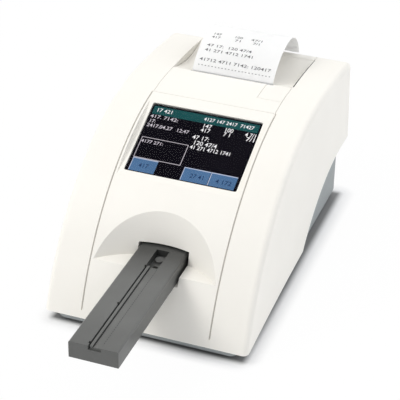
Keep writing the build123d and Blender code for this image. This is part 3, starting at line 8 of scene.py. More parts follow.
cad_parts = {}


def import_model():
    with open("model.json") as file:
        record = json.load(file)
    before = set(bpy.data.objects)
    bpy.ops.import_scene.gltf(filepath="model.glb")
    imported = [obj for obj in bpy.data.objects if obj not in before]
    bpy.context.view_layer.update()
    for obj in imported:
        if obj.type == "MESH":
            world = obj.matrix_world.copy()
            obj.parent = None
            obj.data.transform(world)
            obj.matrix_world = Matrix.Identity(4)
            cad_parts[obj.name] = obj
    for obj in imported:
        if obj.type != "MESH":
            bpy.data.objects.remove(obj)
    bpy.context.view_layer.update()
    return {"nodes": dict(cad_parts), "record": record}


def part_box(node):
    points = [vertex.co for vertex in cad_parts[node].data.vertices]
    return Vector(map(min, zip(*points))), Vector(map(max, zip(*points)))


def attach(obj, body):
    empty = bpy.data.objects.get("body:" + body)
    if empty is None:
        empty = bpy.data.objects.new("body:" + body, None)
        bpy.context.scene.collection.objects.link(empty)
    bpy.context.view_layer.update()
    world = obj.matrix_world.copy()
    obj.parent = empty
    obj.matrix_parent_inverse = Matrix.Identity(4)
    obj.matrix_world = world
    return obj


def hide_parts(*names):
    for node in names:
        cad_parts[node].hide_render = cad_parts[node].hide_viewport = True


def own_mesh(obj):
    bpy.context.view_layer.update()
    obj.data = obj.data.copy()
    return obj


# Looks of a bench-top urine analyzer. Metres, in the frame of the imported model: +Z up, the
# front towards -Y. Sizes that part.py also holds are repeated here in millimetres.
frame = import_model()
MM = 0.001

# The cover's front lower edge in the frame, and the two arches of its roof
FRONT = -74.25
SILL = 7.5
COVER_HEIGHT = 104.0
CREST_BACK = 144.0
FRONT_RADIUS = (CREST_BACK**2 + COVER_HEIGHT**2) / (2 * COVER_HEIGHT)
FRONT_ARCH = math.asin(CREST_BACK / FRONT_RADIUS)
REAR_RADIUS = 560.0

# Display: the flat facet in the arch, the glass on it and how far the picture lies behind it
FACET_START = 55.3
FACET_END = 112.5
GLASS_MIDDLE = 85.2
GLASS_WIDTH = 74.8
GLASS_LENGTH = 55.8
GLASS_BACK = 1.3
PICTURE_MARGIN = 0.6

# Layers of the picture: where each starts in front of its back, and how thick they all are
GROUND_LEVEL = 0.02
FIELD_LEVEL = 0.05
EDGE_LEVEL = 0.06
FIGURE_LEVEL = 0.08
LIT_THICKNESS = 0.02

# Keys along the foot of the picture, in shares of its width and height
KEY_TOP = 0.81
KEY_FOOT = 0.985
KEY_EDGE = 0.006
KEY_SIDES = ((0.03, 0.255), (0.5, 0.735), (0.745, 0.975))

# Characters: a capital's share of the text size, and how much of its height widens a stroke
CAPITAL_SHARE = 0.72
LIT_STROKE = 0.008
PRINT_STROKE = 0.012

# Printer: the slot, the lid's crease and half the width of the lid's opening
SLOT = 158.1
CREASE = 210.2
OPENING_HALF = 42.1

# Paper strip: its start, measured back from the slot and up from the roof, its highest point and
# its end
PAPER_THICKNESS = 0.2
PAPER_START = (0.1, 0.2)
PAPER_PEAK = (193.3, COVER_HEIGHT + 16.1)
PAPER_END = (217.9, COVER_HEIGHT - 3.8)
PRINT_HEIGHT = 2.3

# Marks of the last tear: how many, half the length of their row, and the size of each
TEAR_COUNT = 22
TEAR_HALF_ROW = 25.0
TEAR_WIDTH = 1.0
TEAR_START = 3.9
TEAR_END = 4.4

# Spring under the release button
SPRING_TURNS = 5
SPRING_WIRE = 0.35
WIRE_SIDES = 8
STEPS_PER_TURN = 24

# Style grooves of the front, which end at the seam, and the painted shade in them
GROOVE_OFFSET = 42.6
GROOVE_DEPTH = 0.7
SEAM = 121.2
GROOVE_SHADE_FOOT = 5.4
GROOVE_SHADE_HALF = 0.42
GROOVE_SHADE_CUTS = 36

# Painted shade of the joint between the right flank and the lid, a dark film on the flank's edge: its
# left side, its widths at both ends, its start
LID_JOINT_LEFT = OPENING_HALF + 0.03
LID_JOINT_WIDTHS = (0.75, 0.35)
LID_JOINT_START = SLOT + 0.8
LID_JOINT_CUTS = 30

# Tray: its top, and the joint along the right edge of the seat in it
TRAY_TOP = 42.0
SEAT_START = -71.0
SEAT_END = 11.0
SEAT_JOINT = (4.6, 4.9)
SEAT_DASHES = 40
DASH_SHARE = 0.62

# Thin films: how far the foot and the top of each lie off the surface below
PRINT_FOOT = 0.01
TEAR_FILM = (0.01, 0.03)
GROOVE_SHADE_FILM = (0.01, 0.04)
JOINT_FILM = (0.005, 0.02)

# Painted shade and sheen on the tray, between two places along the frame's Y, in metres: share of the
# way, brightness
TONE_FROM = -0.155
TONE_TO = -0.03
TRAY_PAINTED_SHADE = ((0.0, 0.80), (0.28, 1.0), (0.6, 0.98), (0.76, 0.68), (0.86, 0.42), (1.0, 0.34))

# Places of the two shades of a cloud pattern, whose values crowd round a half
CLOUD_DARK = 0.35
CLOUD_LIGHT = 0.65

# Floor: the middle and the half sizes of the rectangle under the pan, and how far round it the
# paper's colour is darkened as a painted contact shadow and the real shadow runs out, all in metres
PAN_MIDDLE = 0.0378
PAN_HALF = (0.0628, 0.107)
PAINTED_SHADOW_REACH = 0.005
SHADOW_REACH = (0.001, 0.013)

# Middle of the casing, in metres, where every lamp points
LAMP_AIM = Vector((0, 0, 0.05))

# Camera, fitted to the photograph: metres and degrees, with the lens in millimetres
CAMERA_PLACE = (0.284181, -0.771303, 0.561984)
CAMERA_ELEVATION = 31.298
CAMERA_AZIMUTH = 19.645
CAMERA_ROLL = 1.192
CAMERA_LENS = 135.08
CAMERA_SENSOR = 36.0


# Tools for colours, materials and meshes


def linear(code):
    """An sRGB hex colour as the linear RGBA that shaders take."""
    channels = [int(code[i : i + 2], 16) / 255 for i in (0, 2, 4)]
    return [c / 12.92 if c <= 0.04045 else ((c + 0.055) / 1.055) ** 2.4 for c in channels] + [1.0]


def feed(tree, node, sockets):
    """Gives each named or numbered input its value, or a link where the value is an output."""
    for name, value in sockets.items():
        if isinstance(value, bpy.types.NodeSocket):
            tree.links.new(value, node.inputs[name])
        else:
            node.inputs[name].default_value = value


def add(tree, kind, sockets=None, stops=(), **settings):
    """A new node with its settings, the values and links of its inputs and a ramp's stops."""
    node = tree.nodes.new(kind)
    for name, value in settings.items():
        setattr(node, name, value)
    feed(tree, node, sockets or {})
    if stops:
        steps = node.color_ramp.elements
        for position, colour in stops[1:-1]:
            steps.new(position)
        for step, (position, colour) in zip(steps, stops):
            step.position = position
            step.color = colour
    return node


def surface(name, light, dark, rough, grain, depth, patch, stretch=(1, 1, 1), shader=None):
    """A material with two close shades in patches, a fine grain in relief and uneven gloss.

    light and dark are hex colours, rough the lowest and highest roughness, grain the size of
    the relief and depth its height, patch the size of the patches, all in millimetres. stretch
    scales the pattern along each axis, and shader holds values for the main shader.
    """
    material = bpy.data.materials.new(name)
    material.use_nodes = True
    tree = material.node_tree
    place = add(tree, "ShaderNodeTexCoord").outputs["Object"]
    mapping = add(tree, "ShaderNodeMapping", {"Vector": place, "Scale": stretch})
    flat = mapping.outputs["Vector"]
    patches = add(
        tree, "ShaderNodeTexNoise",
        {"Vector": flat, "Scale": 1 / (patch * MM), "Detail": 4, "Roughness": 0.55},
    )
    fine = add(
        tree, "ShaderNodeTexNoise",
        {"Vector": flat, "Scale": 1 / (grain * MM), "Detail": 3, "Roughness": 0.6},
    )
    shades = add(
        tree, "ShaderNodeValToRGB", {"Fac": patches.outputs["Fac"]},
        stops=((CLOUD_DARK, linear(dark)), (CLOUD_LIGHT, linear(light))),
    )
    gloss = add(
        tree, "ShaderNodeMapRange",
        {
            "Value": fine.outputs["Fac"], "From Min": 0.3, "From Max": 0.7,
            "To Min": rough[0], "To Max": rough[1],
        },
    )
    bump = add(
        tree, "ShaderNodeBump",
        {"Height": fine.outputs["Fac"], "Strength": 1.0, "Distance": depth * MM},
    )
    main = {
        "Base Color": shades.outputs["Color"], "Roughness": gloss.outputs["Result"],
        "Normal": bump.outputs["Normal"],
    }
    feed(tree, tree.nodes["Principled BSDF"], {**main, **(shader or {})})
    return material


def toned(material, factor):
    """Multiplies a material's base colour by a number that comes out of a socket."""
    tree = material.node_tree
    main = tree.nodes["Principled BSDF"]
    colour = main.inputs["Base Color"].links[0].from_socket
    scaled = add(tree, "ShaderNodeVectorMath", {"Vector": colour, "Scale": factor}, operation="SCALE")
    feed(tree, main, {"Base Color": scaled.outputs["Vector"]})


def lit_area(name, colour):
    """A lit part of the display in one colour, in soft clouds as uneven as the lamps behind it."""
    cloud = 16.0
    dimmest = 0.88
    material = bpy.data.materials.new(name)
    material.use_nodes = True
    tree = material.node_tree
    place = add(tree, "ShaderNodeTexCoord").outputs["Object"]
    clouds = add(
        tree, "ShaderNodeTexNoise",
        {"Vector": place, "Scale": 1 / (cloud * MM), "Detail": 1, "Roughness": 0.4},
    )
    bright = linear(colour)
    dim = [dimmest * channel for channel in bright[:3]] + [1.0]
    shades = add(
        tree, "ShaderNodeValToRGB", {"Fac": clouds.outputs["Fac"]},
        stops=((CLOUD_DARK, dim), (CLOUD_LIGHT, bright)),
    )
    main = {
        "Emission Color": shades.outputs["Color"], "Emission Strength": 1.0,
        "Base Color": linear("050507"), "Roughness": 0.4, "Specular IOR Level": 0.0,
    }
    feed(tree, tree.nodes["Principled BSDF"], main)
    return material


def piece(name, form, material, body):
    """A new object of the bmesh form, already in place, that rides on a body."""
    mesh = bpy.data.meshes.new(name)
    form.to_mesh(mesh)
    form.free()
    mesh.materials.append(material)
    thing = bpy.data.objects.new(name, mesh)
    bpy.context.scene.collection.objects.link(thing)
    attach(thing, body)
    return thing


def block(form, left, right, low, high, foot, top, cuts=0):
    """Adds a closed block to the form, in its own flat coordinates, with cuts across its length."""
    made = bmesh.ops.create_cube(form, size=1.0)
    middle = Vector(((left + right) / 2, (low + high) / 2, (foot + top) / 2))
    size = Vector((right - left, high - low, top - foot))
    for vertex in made["verts"]:
        vertex.co = Vector(a * b + c for a, b, c in zip(vertex.co, size, middle))
    if cuts:
        corners = set(made["verts"])
        edges = [edge for edge in form.edges if corners.issuperset(edge.verts)]
        long_edges = [
            edge for edge in edges if abs(edge.verts[0].co.y - edge.verts[1].co.y) > size.y / 2
        ]
        bmesh.ops.subdivide_edges(form, edges=long_edges, cuts=cuts, use_grid_fill=True)


def characters(form, text, left, base, height, foot, width, stroke):
    """Adds a line of characters to the form, flat in X and Y, on the level foot.

    width squeezes the line to a length, and stroke widens each stroke by a share of the height.
    """
    curve = bpy.data.curves.new("line_of_characters", "FONT")
    curve.body = text
    curve.size = height / CAPITAL_SHARE
    curve.extrude = LIT_THICKNESS / 2
    curve.offset = stroke * height
    curve.resolution_u = 3
    carrier = bpy.data.objects.new("line_of_characters", curve)
    bpy.context.scene.collection.objects.link(carrier)
    shown = carrier.evaluated_get(bpy.context.evaluated_depsgraph_get())
    mesh = bpy.data.meshes.new_from_object(shown)
    squeeze = width / max(vertex.co.x for vertex in mesh.vertices)
    level = foot + LIT_THICKNESS / 2
    for vertex in mesh.vertices:
        vertex.co = (left + vertex.co.x * squeeze, base + vertex.co.y, level + vertex.co.z)
    form.from_mesh(mesh)
    bpy.data.objects.remove(carrier)
    bpy.data.meshes.remove(mesh)
    bpy.data.curves.remove(curve)


def moved(form, place):
    """Puts every vertex of a flat form where place says, and makes its faces look outwards."""
    bmesh.ops.remove_doubles(form, verts=form.verts, dist=1e-7)
    for vertex in form.verts:
        vertex.co = place(vertex.co)
    bmesh.ops.recalc_face_normals(form, faces=form.faces)
    return form


def spot(x, back, height):
    """A point given as part.py gives it, in metres in the frame."""
    return Vector((x, FRONT + back, SILL + height)) * MM


def roof_height(back):
    """The cover's height behind its crest."""
    return COVER_HEIGHT - REAR_RADIUS + math.sqrt(REAR_RADIUS**2 - (back - CREST_BACK) ** 2)


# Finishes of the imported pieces

# Moulded textures, rolling and grinding lines, paper fibres and pores measure less than 0.1 mm
# on the real ones. They are drawn at 0.12 to 0.6 mm, as coarse as they need to show.


def tray_plastic_painted_shade(name, bright):
    """Dark grey ABS with painted shade and sheen: paler over its outer half, darkest towards the bay
    where the recess shades it, and a little darker at its outer end.
    """
    material = surface(
        name, "6C6D6B", "666765", rough=(0.32, 0.44), grain=0.25, depth=0.003, patch=25.0
    )
    tree = material.node_tree
    place = add(tree, "ShaderNodeTexCoord").outputs["Object"]
    axes = add(tree, "ShaderNodeSeparateXYZ", {"Vector": place})
    along = add(
        tree, "ShaderNodeMapRange",
        {"Value": axes.outputs["Y"], "From Min": TONE_FROM, "From Max": TONE_TO},
    )
    tones = [(position, [bright * tone] * 3 + [1.0]) for position, tone in TRAY_PAINTED_SHADE]
    tone = add(tree, "ShaderNodeValToRGB", {"Fac": along.outputs["Result"]}, stops=tones)
    toned(material, tone.outputs["Color"])
    return material


def moulded_plastics():
    """Injection-moulded housings and inner parts."""
    return {
        # Warm white ABS: satin, with a fine spark-eroded texture that softens every highlight
        "shell": surface(
            "white_abs_satin", "F6F3EC", "F4F1EA",
            rough=(0.42, 0.52), grain=0.35, depth=0.006, patch=40.0,
            shader={"Specular IOR Level": 0.4},
        ),
        # Grey ABS of the pan: the same texture, duller and a little cool
        "base": surface(
            "grey_abs_satin", "989E9F", "939899",
            rough=(0.45, 0.58), grain=0.4, depth=0.008, patch=30.0,
        ),
        # Dark grey ABS of the tray: smooth, so it shows a soft sheen towards the light; its colour also
        # carries painted shade towards the bay and a painted sheen over its outer half
        "tray": tray_plastic_painted_shade("dark_grey_abs", bright=0.78),
        # Seat for the strip: nearly the tray's grey, with a matt surface and the same painted shade and
        # sheen along it
        "seat": tray_plastic_painted_shade("seat_grey_abs", bright=0.86),
        # Reference pad: matt ceramic-filled plastic, toned down by reagent traces
        "pad": surface(
            "ceramic_filled_plastic", "5A5A59", "4E4E4D",
            rough=(0.55, 0.65), grain=0.15, depth=0.004, patch=2.5,
        ),
        # Black glass-filled frames inside: coarse and dull
        "inner_plastic": surface(
            "black_filled_nylon", "2B2C2E", "252628",
            rough=(0.5, 0.68), grain=0.5, depth=0.012, patch=9.0,
        ),
        # Acetal gears: milky, waxy and slightly translucent
        "gear": surface(
            "natural_acetal", "E6E3D9", "DEDACE",
            rough=(0.32, 0.42), grain=0.6, depth=0.003, patch=6.0,
            shader={"Subsurface Weight": 0.15, "Subsurface Radius": (0.001, 0.001, 0.0008)},
        ),
        # Switch cap: dark grey ABS, polished a little by fingers
        "key": surface(
            "switch_cap_abs", "4A4B4C", "434445",
            rough=(0.32, 0.42), grain=0.3, depth=0.004, patch=8.0,
        ),
    }


def rubbers():
    """Feet and platen."""
    return {
        # Foot rubber: black-grey, dull, with a dusty bloom
        "feet": surface(
            "foot_rubber", "2E2F31", "393A3B",
            rough=(0.7, 0.85), grain=0.6, depth=0.02, patch=7.0,
        ),
        # Ground platen rubber: very dark and even, with fine grinding lines round the roller
        "platen_rubber": surface(
            "ground_platen_rubber", "1C1D1F", "232426",
            rough=(0.55, 0.68), grain=0.2, depth=0.004, patch=4.0, stretch=(0.25, 1, 1),
        ),
    }


def metals():
    """Sheet parts, screws and the print head."""
    return {
        # Zinc-plated sheet: mottled and brushed by rolling
        "steel": surface(
            "zinc_plated_sheet", "C9CCCE", "B4B8BB",
            rough=(0.26, 0.42), grain=0.3, depth=0.003, patch=5.0, stretch=(0.15, 1, 1),
            shader={"Metallic": 1.0},
        ),
        # Nickel-plated screws: brighter and smoother than the sheet
        "screws": surface(
            "nickel_plated_steel", "D3D2CD", "C3C2BC",
            rough=(0.18, 0.3), grain=0.2, depth=0.002, patch=2.0, shader={"Metallic": 1.0},
        ),
        # Sintered bronze bearings: brown-gold, dull and porous
        "bush": surface(
            "sintered_bronze", "B8935A", "A8834C",
            rough=(0.4, 0.55), grain=0.15, depth=0.006, patch=2.0, shader={"Metallic": 1.0},
        ),
        # Anodised aluminium carrier of the head: even, dull and pale
        "head": surface(
            "anodised_aluminium", "AEB1B4", "A2A5A8",
            rough=(0.34, 0.46), grain=0.15, depth=0.003, patch=6.0, shader={"Metallic": 1.0},
        ),
    }


def papers():
    """Thermal paper and the roll's core."""
    return {
        # Coated thermal paper: bright, smooth, almost without gloss, and light glows through it
        "paper": surface(
            "thermal_paper", "FAFAF9", "F7F7F7",
            rough=(0.6, 0.7), grain=0.12, depth=0.002, patch=14.0,
            shader={
                "Specular IOR Level": 0.3, "Subsurface Weight": 0.7,
                "Subsurface Radius": (1, 1, 1), "Subsurface Scale": 0.0006,
            },
        ),
        # Wound card of the core: brown-grey with a fibrous grain
        "core": surface(
            "wound_card", "B9A88C", "A89678",
            rough=(0.75, 0.9), grain=0.3, depth=0.02, patch=3.0, stretch=(3, 1, 1),
        ),
    }


def optics_and_boards():
    """Glass, lens, lamps, boards and their parts."""
    return {
        # Cover glass of the display: clear, with a coating that leaves only a faint reflection
        "window": surface(
            "coated_cover_glass", "FFFFFF", "FBFDFF",
            rough=(0.02, 0.05), grain=1.5, depth=0.0001, patch=30.0,
            shader={"Transmission Weight": 1.0, "IOR": 1.12},
        ),
        # Display body: steel tray with a black oxide, even and half dull
        "module": surface(
            "blackened_steel", "17181A", "1D1E21",
            rough=(0.35, 0.5), grain=0.4, depth=0.004, patch=6.0,
        ),
        # Acrylic lens: clear with a faint cool edge
        "lens": surface(
            "lens_acrylic", "FFFFFF", "F6FAFC",
            rough=(0.02, 0.05), grain=1.0, depth=0.0003, patch=8.0,
            shader={"Transmission Weight": 1.0, "IOR": 1.49},
        ),
        # Epoxy lamps: milky and slightly yellow
        "lamp": surface(
            "lamp_epoxy", "F1EEDD", "E8E3C8",
            rough=(0.08, 0.16), grain=0.8, depth=0.001, patch=3.0,
            shader={"Transmission Weight": 0.5, "IOR": 1.5},
        ),
        # Solder-masked board: green with the copper showing as paler streets
        "board": surface(
            "solder_mask_green", "1F5B3A", "2B6E48",
            rough=(0.22, 0.38), grain=0.5, depth=0.01, patch=2.4,
        ),
        # Moulded chips and connectors: black epoxy with a fine matt face
        "chips": surface(
            "chip_epoxy", "1E1F21", "27282A",
            rough=(0.45, 0.6), grain=0.2, depth=0.006, patch=3.0,
        ),
    }


finishes = {}
for group in (moulded_plastics(), rubbers(), metals(), papers(), optics_and_boards()):
    finishes.update(group)

slots = {part["node"]: part["material_slot"] for part in frame["record"]["subparts"]}
for name, node in frame["nodes"].items():
    node.data.materials.clear()
    node.data.materials.append(finishes[slots[name]])


# Lit picture behind the display's glass


def facet_place(flat):
    """A point of the picture: X to the right, Y up the facet, Z out of it, in millimetres."""
    centre = COVER_HEIGHT - FRONT_RADIUS
    ends = (FACET_START, FACET_END)
    roof = [centre + math.sqrt(FRONT_RADIUS**2 - (CREST_BACK - back) ** 2) for back in ends]
    slope = (roof[1] - roof[0]) / (FACET_END - FACET_START)
    angle = math.atan(slope)
    height = roof[0] + (GLASS_MIDDLE - FACET_START) * slope
    along = Vector((0, math.cos(angle), math.sin(angle)))
    out = Vector((0, -math.sin(angle), math.cos(angle)))
    middle = Vector((flat.x, FRONT + GLASS_MIDDLE, SILL + height))
    return (middle + along * flat.y + out * (flat.z - GLASS_BACK)) * MM


def picture(left, right, top, bottom):
    """The sides of an area given in shares of the picture's width and of its height from the top."""
    width = GLASS_WIDTH - PICTURE_MARGIN
    length = GLASS_LENGTH - PICTURE_MARGIN
    across = ((left - 0.5) * width, (right - 0.5) * width)
    return *across, (0.5 - bottom) * length, (0.5 - top) * length


def display_area(name, areas, level, material):
    """Lit rectangles of one colour on the display, one closed block each."""
    form = bmesh.new()
    for area in areas:
        block(form, *picture(*area), level, level + LIT_THICKNESS)
    piece(name, moved(form, facet_place), material, "casing")


def outline(left, right, top, bottom, line):
    """Four thin areas that frame an area of the picture."""
    tall = line * GLASS_WIDTH / GLASS_LENGTH
    return [
        (left, right, top, top + tall),
        (left, right, bottom - tall, bottom),
        (left, left + line, top + tall, bottom - tall),
        (right - line, right, top + tall, bottom - tall),
    ]


def display_text(name, rows, material):
    """Rows of characters, each with its left end, middle height, width and letter height."""
    form = bmesh.new()
    for text, left, middle, width, tall in rows:
        height = tall * GLASS_LENGTH
        base = (0.5 - middle) * GLASS_LENGTH - height / 2
        start = (left - 0.5) * GLASS_WIDTH
        length = width * GLASS_WIDTH
        characters(form, text, start, base, height, FIGURE_LEVEL, length, LIT_STROKE)
    piece(name, moved(form, facet_place), material, "casing")


key_areas = [(left, right, KEY_TOP, KEY_FOOT) for left, right in KEY_SIDES]
key_edges = []
for left, right in KEY_SIDES:
    key_edges.append((left - KEY_EDGE, right, KEY_TOP - 2 * KEY_EDGE, KEY_TOP))
    key_edges.append((left - KEY_EDGE, left, KEY_TOP, KEY_FOOT))

# Unlit liquid crystal: nearly black, with a trace of violet from the light behind it
display_area(
    "display_ground", [(0, 1, 0, 1)], GROUND_LEVEL, lit_area("liquid_crystal_unlit", "0B0910")
)
# Header bar: dim teal
display_area(
    "display_header", [(0.012, 0.985, 0.022, 0.142)], FIELD_LEVEL,
    lit_area("liquid_crystal_teal", "1B4F50"),
)
# Keys on the picture: steel blue, with paler edges at the top and left that make them look raised
display_area("display_keys", key_areas, FIELD_LEVEL, lit_area("liquid_crystal_blue", "50739B"))
display_area(
    "display_key_edges", key_edges, EDGE_LEVEL, lit_area("liquid_crystal_pale_blue", "B9C3DA")
)
# Frame of the note field: a fine line in a soft white
display_area(
    "display_note_frame", outline(0.02, 0.45, 0.49, 0.795, line=0.0055), FIELD_LEVEL,
    lit_area("liquid_crystal_soft_white", "C9C2C9"),
)
# Figures at full brightness: the cold white of the lamps behind the display
display_text(
    "display_bright_text",
    [
        ("17 421", 0.045, 0.078, 0.145, 0.055),
        ("4127 147 2417  71427", 0.485, 0.082, 0.455, 0.05),
        ("147", 0.495, 0.178, 0.085, 0.058),
        ("100", 0.695, 0.178, 0.08, 0.058),
        ("4 7/1", 0.885, 0.19, 0.095, 0.058),
        ("417", 0.495, 0.243, 0.085, 0.058),
        ("7 1", 0.7, 0.243, 0.06, 0.058),
        ("7/1", 0.905, 0.25, 0.075, 0.058),
        ("47 17:", 0.45, 0.36, 0.15, 0.058),
        ("120 47/4", 0.475, 0.435, 0.215, 0.06),
        ("41 271 4712 1741", 0.465, 0.505, 0.36, 0.055),
    ],
    lit_area("liquid_crystal_white", "FFFDFF"),
)
# Smaller figures: the same white a little down, as thin strokes look
display_text(
    "display_soft_text",
    [
        ("417. 7142:", 0.015, 0.178, 0.255, 0.05),
        ("17:", 0.02, 0.248, 0.06, 0.05),
        ("2417.04.27", 0.017, 0.312, 0.235, 0.05),
        ("12:47", 0.29, 0.312, 0.115, 0.05),
        ("4177 271:", 0.03, 0.548, 0.2, 0.046),
    ],
    lit_area("liquid_crystal_dim_white", "D6CFD8"),
)
# Figures on the keys: dark blue, so they show only as a shade
display_text(
    "display_key_text",
    [
        ("417", 0.1, 0.89, 0.09, 0.06),
        ("27 41", 0.565, 0.895, 0.12, 0.06),
        ("4 172", 0.795, 0.9, 0.14, 0.06),
    ],
    lit_area("liquid_crystal_dark_blue", "233A60"),
)


# Print on the paper strip


def paper_place(flat):
    """A point of the strip: X across, Y along it from the slot, Z out of its printed side."""
    behind, above = PAPER_START
    reach = PAPER_PEAK[0] - (SLOT + behind)
    rise = PAPER_PEAK[1] - (roof_height(SLOT) + above)
    climb = (reach**2 + rise**2) / (2 * rise)
    span = PAPER_END[0] - PAPER_PEAK[0]
    fall = PAPER_PEAK[1] - PAPER_END[1]
    drop = (span**2 + fall**2) / (2 * fall)
    climb_angle = math.asin(reach / climb)
    if flat.y < climb * climb_angle:
        radius = climb
        angle = flat.y / climb - climb_angle
    else:
        radius = drop
        angle = (flat.y - climb * climb_angle) / drop
    out = radius + PAPER_THICKNESS / 2 + flat.z
    height = PAPER_PEAK[1] - radius + out * math.cos(angle)
    return spot(flat.x, PAPER_PEAK[0] + out * math.sin(angle), height)


def print_rows(ink):
    """Thermal print: plain figures, each with its left end, its place along the strip, its width."""
    form = bmesh.new()
    for text, left, along, width in (
        ("147", -23.5, 31.0, 6.0),
        ("100", -8.3, 31.0, 6.0),
        ("47/1", 3.5, 31.0, 8.0),
        ("417", -23.3, 27.4, 6.0),
        ("71", -7.0, 27.4, 4.2),
        ("7/1", 6.0, 27.4, 4.8),
        ("47 17:  120 47/4", -24.0, 19.2, 31.8),
        ("41 271 4712 1741", -24.2, 15.0, 34.0),
        ("41712 4711 7142: 120417", -25.6, 7.4, 50.5),
    ):
        characters(form, text, left, along, PRINT_HEIGHT, PRINT_FOOT, width, PRINT_STROKE)
    piece("paper_print", moved(form, paper_place), ink, "lid")


def tear_marks(fibres):
    """The dotted line that the last tear left near the slot."""
    form = bmesh.new()
    for i in range(TEAR_COUNT):
        middle = -TEAR_HALF_ROW + 2 * TEAR_HALF_ROW * i / (TEAR_COUNT - 1)
        left, right = middle - TEAR_WIDTH / 2, middle + TEAR_WIDTH / 2
        block(form, left, right, TEAR_START, TEAR_END, *TEAR_FILM)
    piece("paper_tear_marks", moved(form, paper_place), fibres, "lid")


# Thermal print: dark grey, broken up by the head's dots, drawn four times as coarse as they are
print_rows(
    surface(
        "darkened_thermal_coat", "3C3C40", "77777B",
        rough=(0.6, 0.7), grain=0.3, depth=0.001, patch=0.5,
    )
)
# Roughened paper fibres: mid grey, in marks a little shorter than the spaces between them
tear_marks(
    surface(
        "torn_paper_fibres", "6A6A6D", "89898C",
        rough=(0.6, 0.7), grain=0.3, depth=0.001, patch=0.6,
    )
)


# Painted shade in the grooves, shades in the joints and the release button's spring


def groove_place(flat):
    """A point on a groove's floor: X across, Y along the front arch from its foot, Z outwards."""
    radius = FRONT_RADIUS - GROOVE_DEPTH
    angle = FRONT_ARCH - flat.y / radius
    out = radius + flat.z
    height = COVER_HEIGHT - FRONT_RADIUS + out * math.cos(angle)
    return spot(flat.x, CREST_BACK - out * math.sin(angle), height)


def groove_shade_films(groove_shade):
    """Films of painted shade on the floors of the two grooves, cut across to follow the arch."""
    radius = FRONT_RADIUS - GROOVE_DEPTH
    foot = GROOVE_SHADE_FOOT - (COVER_HEIGHT - FRONT_RADIUS)
    start = radius * (FRONT_ARCH - math.acos(foot / radius))
    finish = radius * (FRONT_ARCH - math.asin((CREST_BACK - SEAM) / radius))
    form = bmesh.new()
    for middle in (-GROOVE_OFFSET, GROOVE_OFFSET):
        left, right = middle - GROOVE_SHADE_HALF, middle + GROOVE_SHADE_HALF
        block(form, left, right, start, finish, *GROOVE_SHADE_FILM, GROOVE_SHADE_CUTS)
    piece("groove_painted_shade", moved(form, groove_place), groove_shade, "casing")


def seat_line(shade):
    """The dark joint between strip seat and tray, a dashed line where the edges nearly meet."""
    pitch = (SEAT_END - SEAT_START) / SEAT_DASHES
    foot, top = (TRAY_TOP + level for level in JOINT_FILM)
    form = bmesh.new()
    for i in range(SEAT_DASHES):
        low = SEAT_START + pitch * i
        block(form, *SEAT_JOINT, low, low + pitch * DASH_SHARE, foot, top)

    def place(flat):
        return spot(flat.x, flat.y, flat.z)

    piece("seat_joint_line", moved(form, place), shade, "tray")


def lid_joint_painted_shade(shade):
    """The shade of the joint between the right flank and the paper lid, widest at its front end."""
    wide, narrow = LID_JOINT_WIDTHS
    form = bmesh.new()
    block(form, 0, 1, LID_JOINT_START, CREASE, *JOINT_FILM, LID_JOINT_CUTS)

    def place(flat):
        width = wide + (narrow - wide) * (flat.y - SLOT) / (CREASE - SLOT)
        return spot(LID_JOINT_LEFT + flat.x * width, flat.y, roof_height(flat.y) + flat.z)

    piece("lid_joint_painted_shade", moved(form, place), shade, "casing")


def release_spring(wire_steel):
    """Compression spring of round wire under the release button."""
    low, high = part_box("button_spring")
    length = high.z - low.z
    centre = (low + high) / 2
    wire = SPRING_WIRE * MM
    coil_radius = (high.x - low.x) / 2 - wire
    steps = SPRING_TURNS * STEPS_PER_TURN
    upright = Matrix.Rotation(math.radians(90), 4, "X")
    start = Matrix.Translation((centre.x + coil_radius, centre.y, low.z + wire))
    form = bmesh.new()
    bmesh.ops.create_circle(form, segments=WIRE_SIDES, radius=wire, matrix=start @ upright)
    bmesh.ops.spin(
        form, geom=form.verts[:] + form.edges[:], cent=centre, axis=(0, 0, 1),
        dvec=(0, 0, (length - 2 * wire) / steps), angle=math.tau * SPRING_TURNS, steps=steps,
    )
    bmesh.ops.holes_fill(form, edges=[edge for edge in form.edges if edge.is_boundary])
    bmesh.ops.recalc_face_normals(form, faces=form.faces)
    for face in form.faces:
        face.smooth = True
    spring = piece("release_spring_wire", form, wire_steel, "casing")
    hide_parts("button_spring")
    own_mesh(spring)


# Painted shade in the grooves: a grey film, soft, matt and a little warm
groove_shade_films(
    surface(
        "painted_groove_shade", "D0CDC6", "C2BFB8",
        rough=(0.8, 0.9), grain=0.3, depth=0.004, patch=9.0,
    )
)
# ABS walls down in a joint, where hardly any light falls: nearly black and matt. Along the lid it is
# painted shade, a film laid on the right flank's edge.
joint_dark_and_painted_shade = surface(
    "shaded_joint_abs", "3A3B3B", "2E2F2F",
    rough=(0.7, 0.8), grain=0.2, depth=0.002, patch=3.0,
)
seat_line(joint_dark_and_painted_shade)
lid_joint_painted_shade(joint_dark_and_painted_shade)
# Hard-drawn spring wire: bright grey and smooth, with fine die marks
release_spring(
    surface(
        "drawn_spring_wire", "B9BCC0", "A6AAAE",
        rough=(0.2, 0.32), grain=0.12, depth=0.001, patch=1.5, shader={"Metallic": 1.0},
    )
)


# Floor, light and camera


def direct_rays(tree):
    """One where the camera, a gloss or a clear piece looks straight at the surface, else nothing."""
    rays = add(tree, "ShaderNodeLightPath").outputs
    seen = add(
        tree, "ShaderNodeMath", {0: rays["Is Camera Ray"], 1: rays["Is Glossy Ray"]},
        operation="MAXIMUM",
    )
    through = add(
        tree, "ShaderNodeMath", {0: seen.outputs["Value"], 1: rays["Is Transmission Ray"]},
        operation="MAXIMUM",
    )
    return through.outputs["Value"]


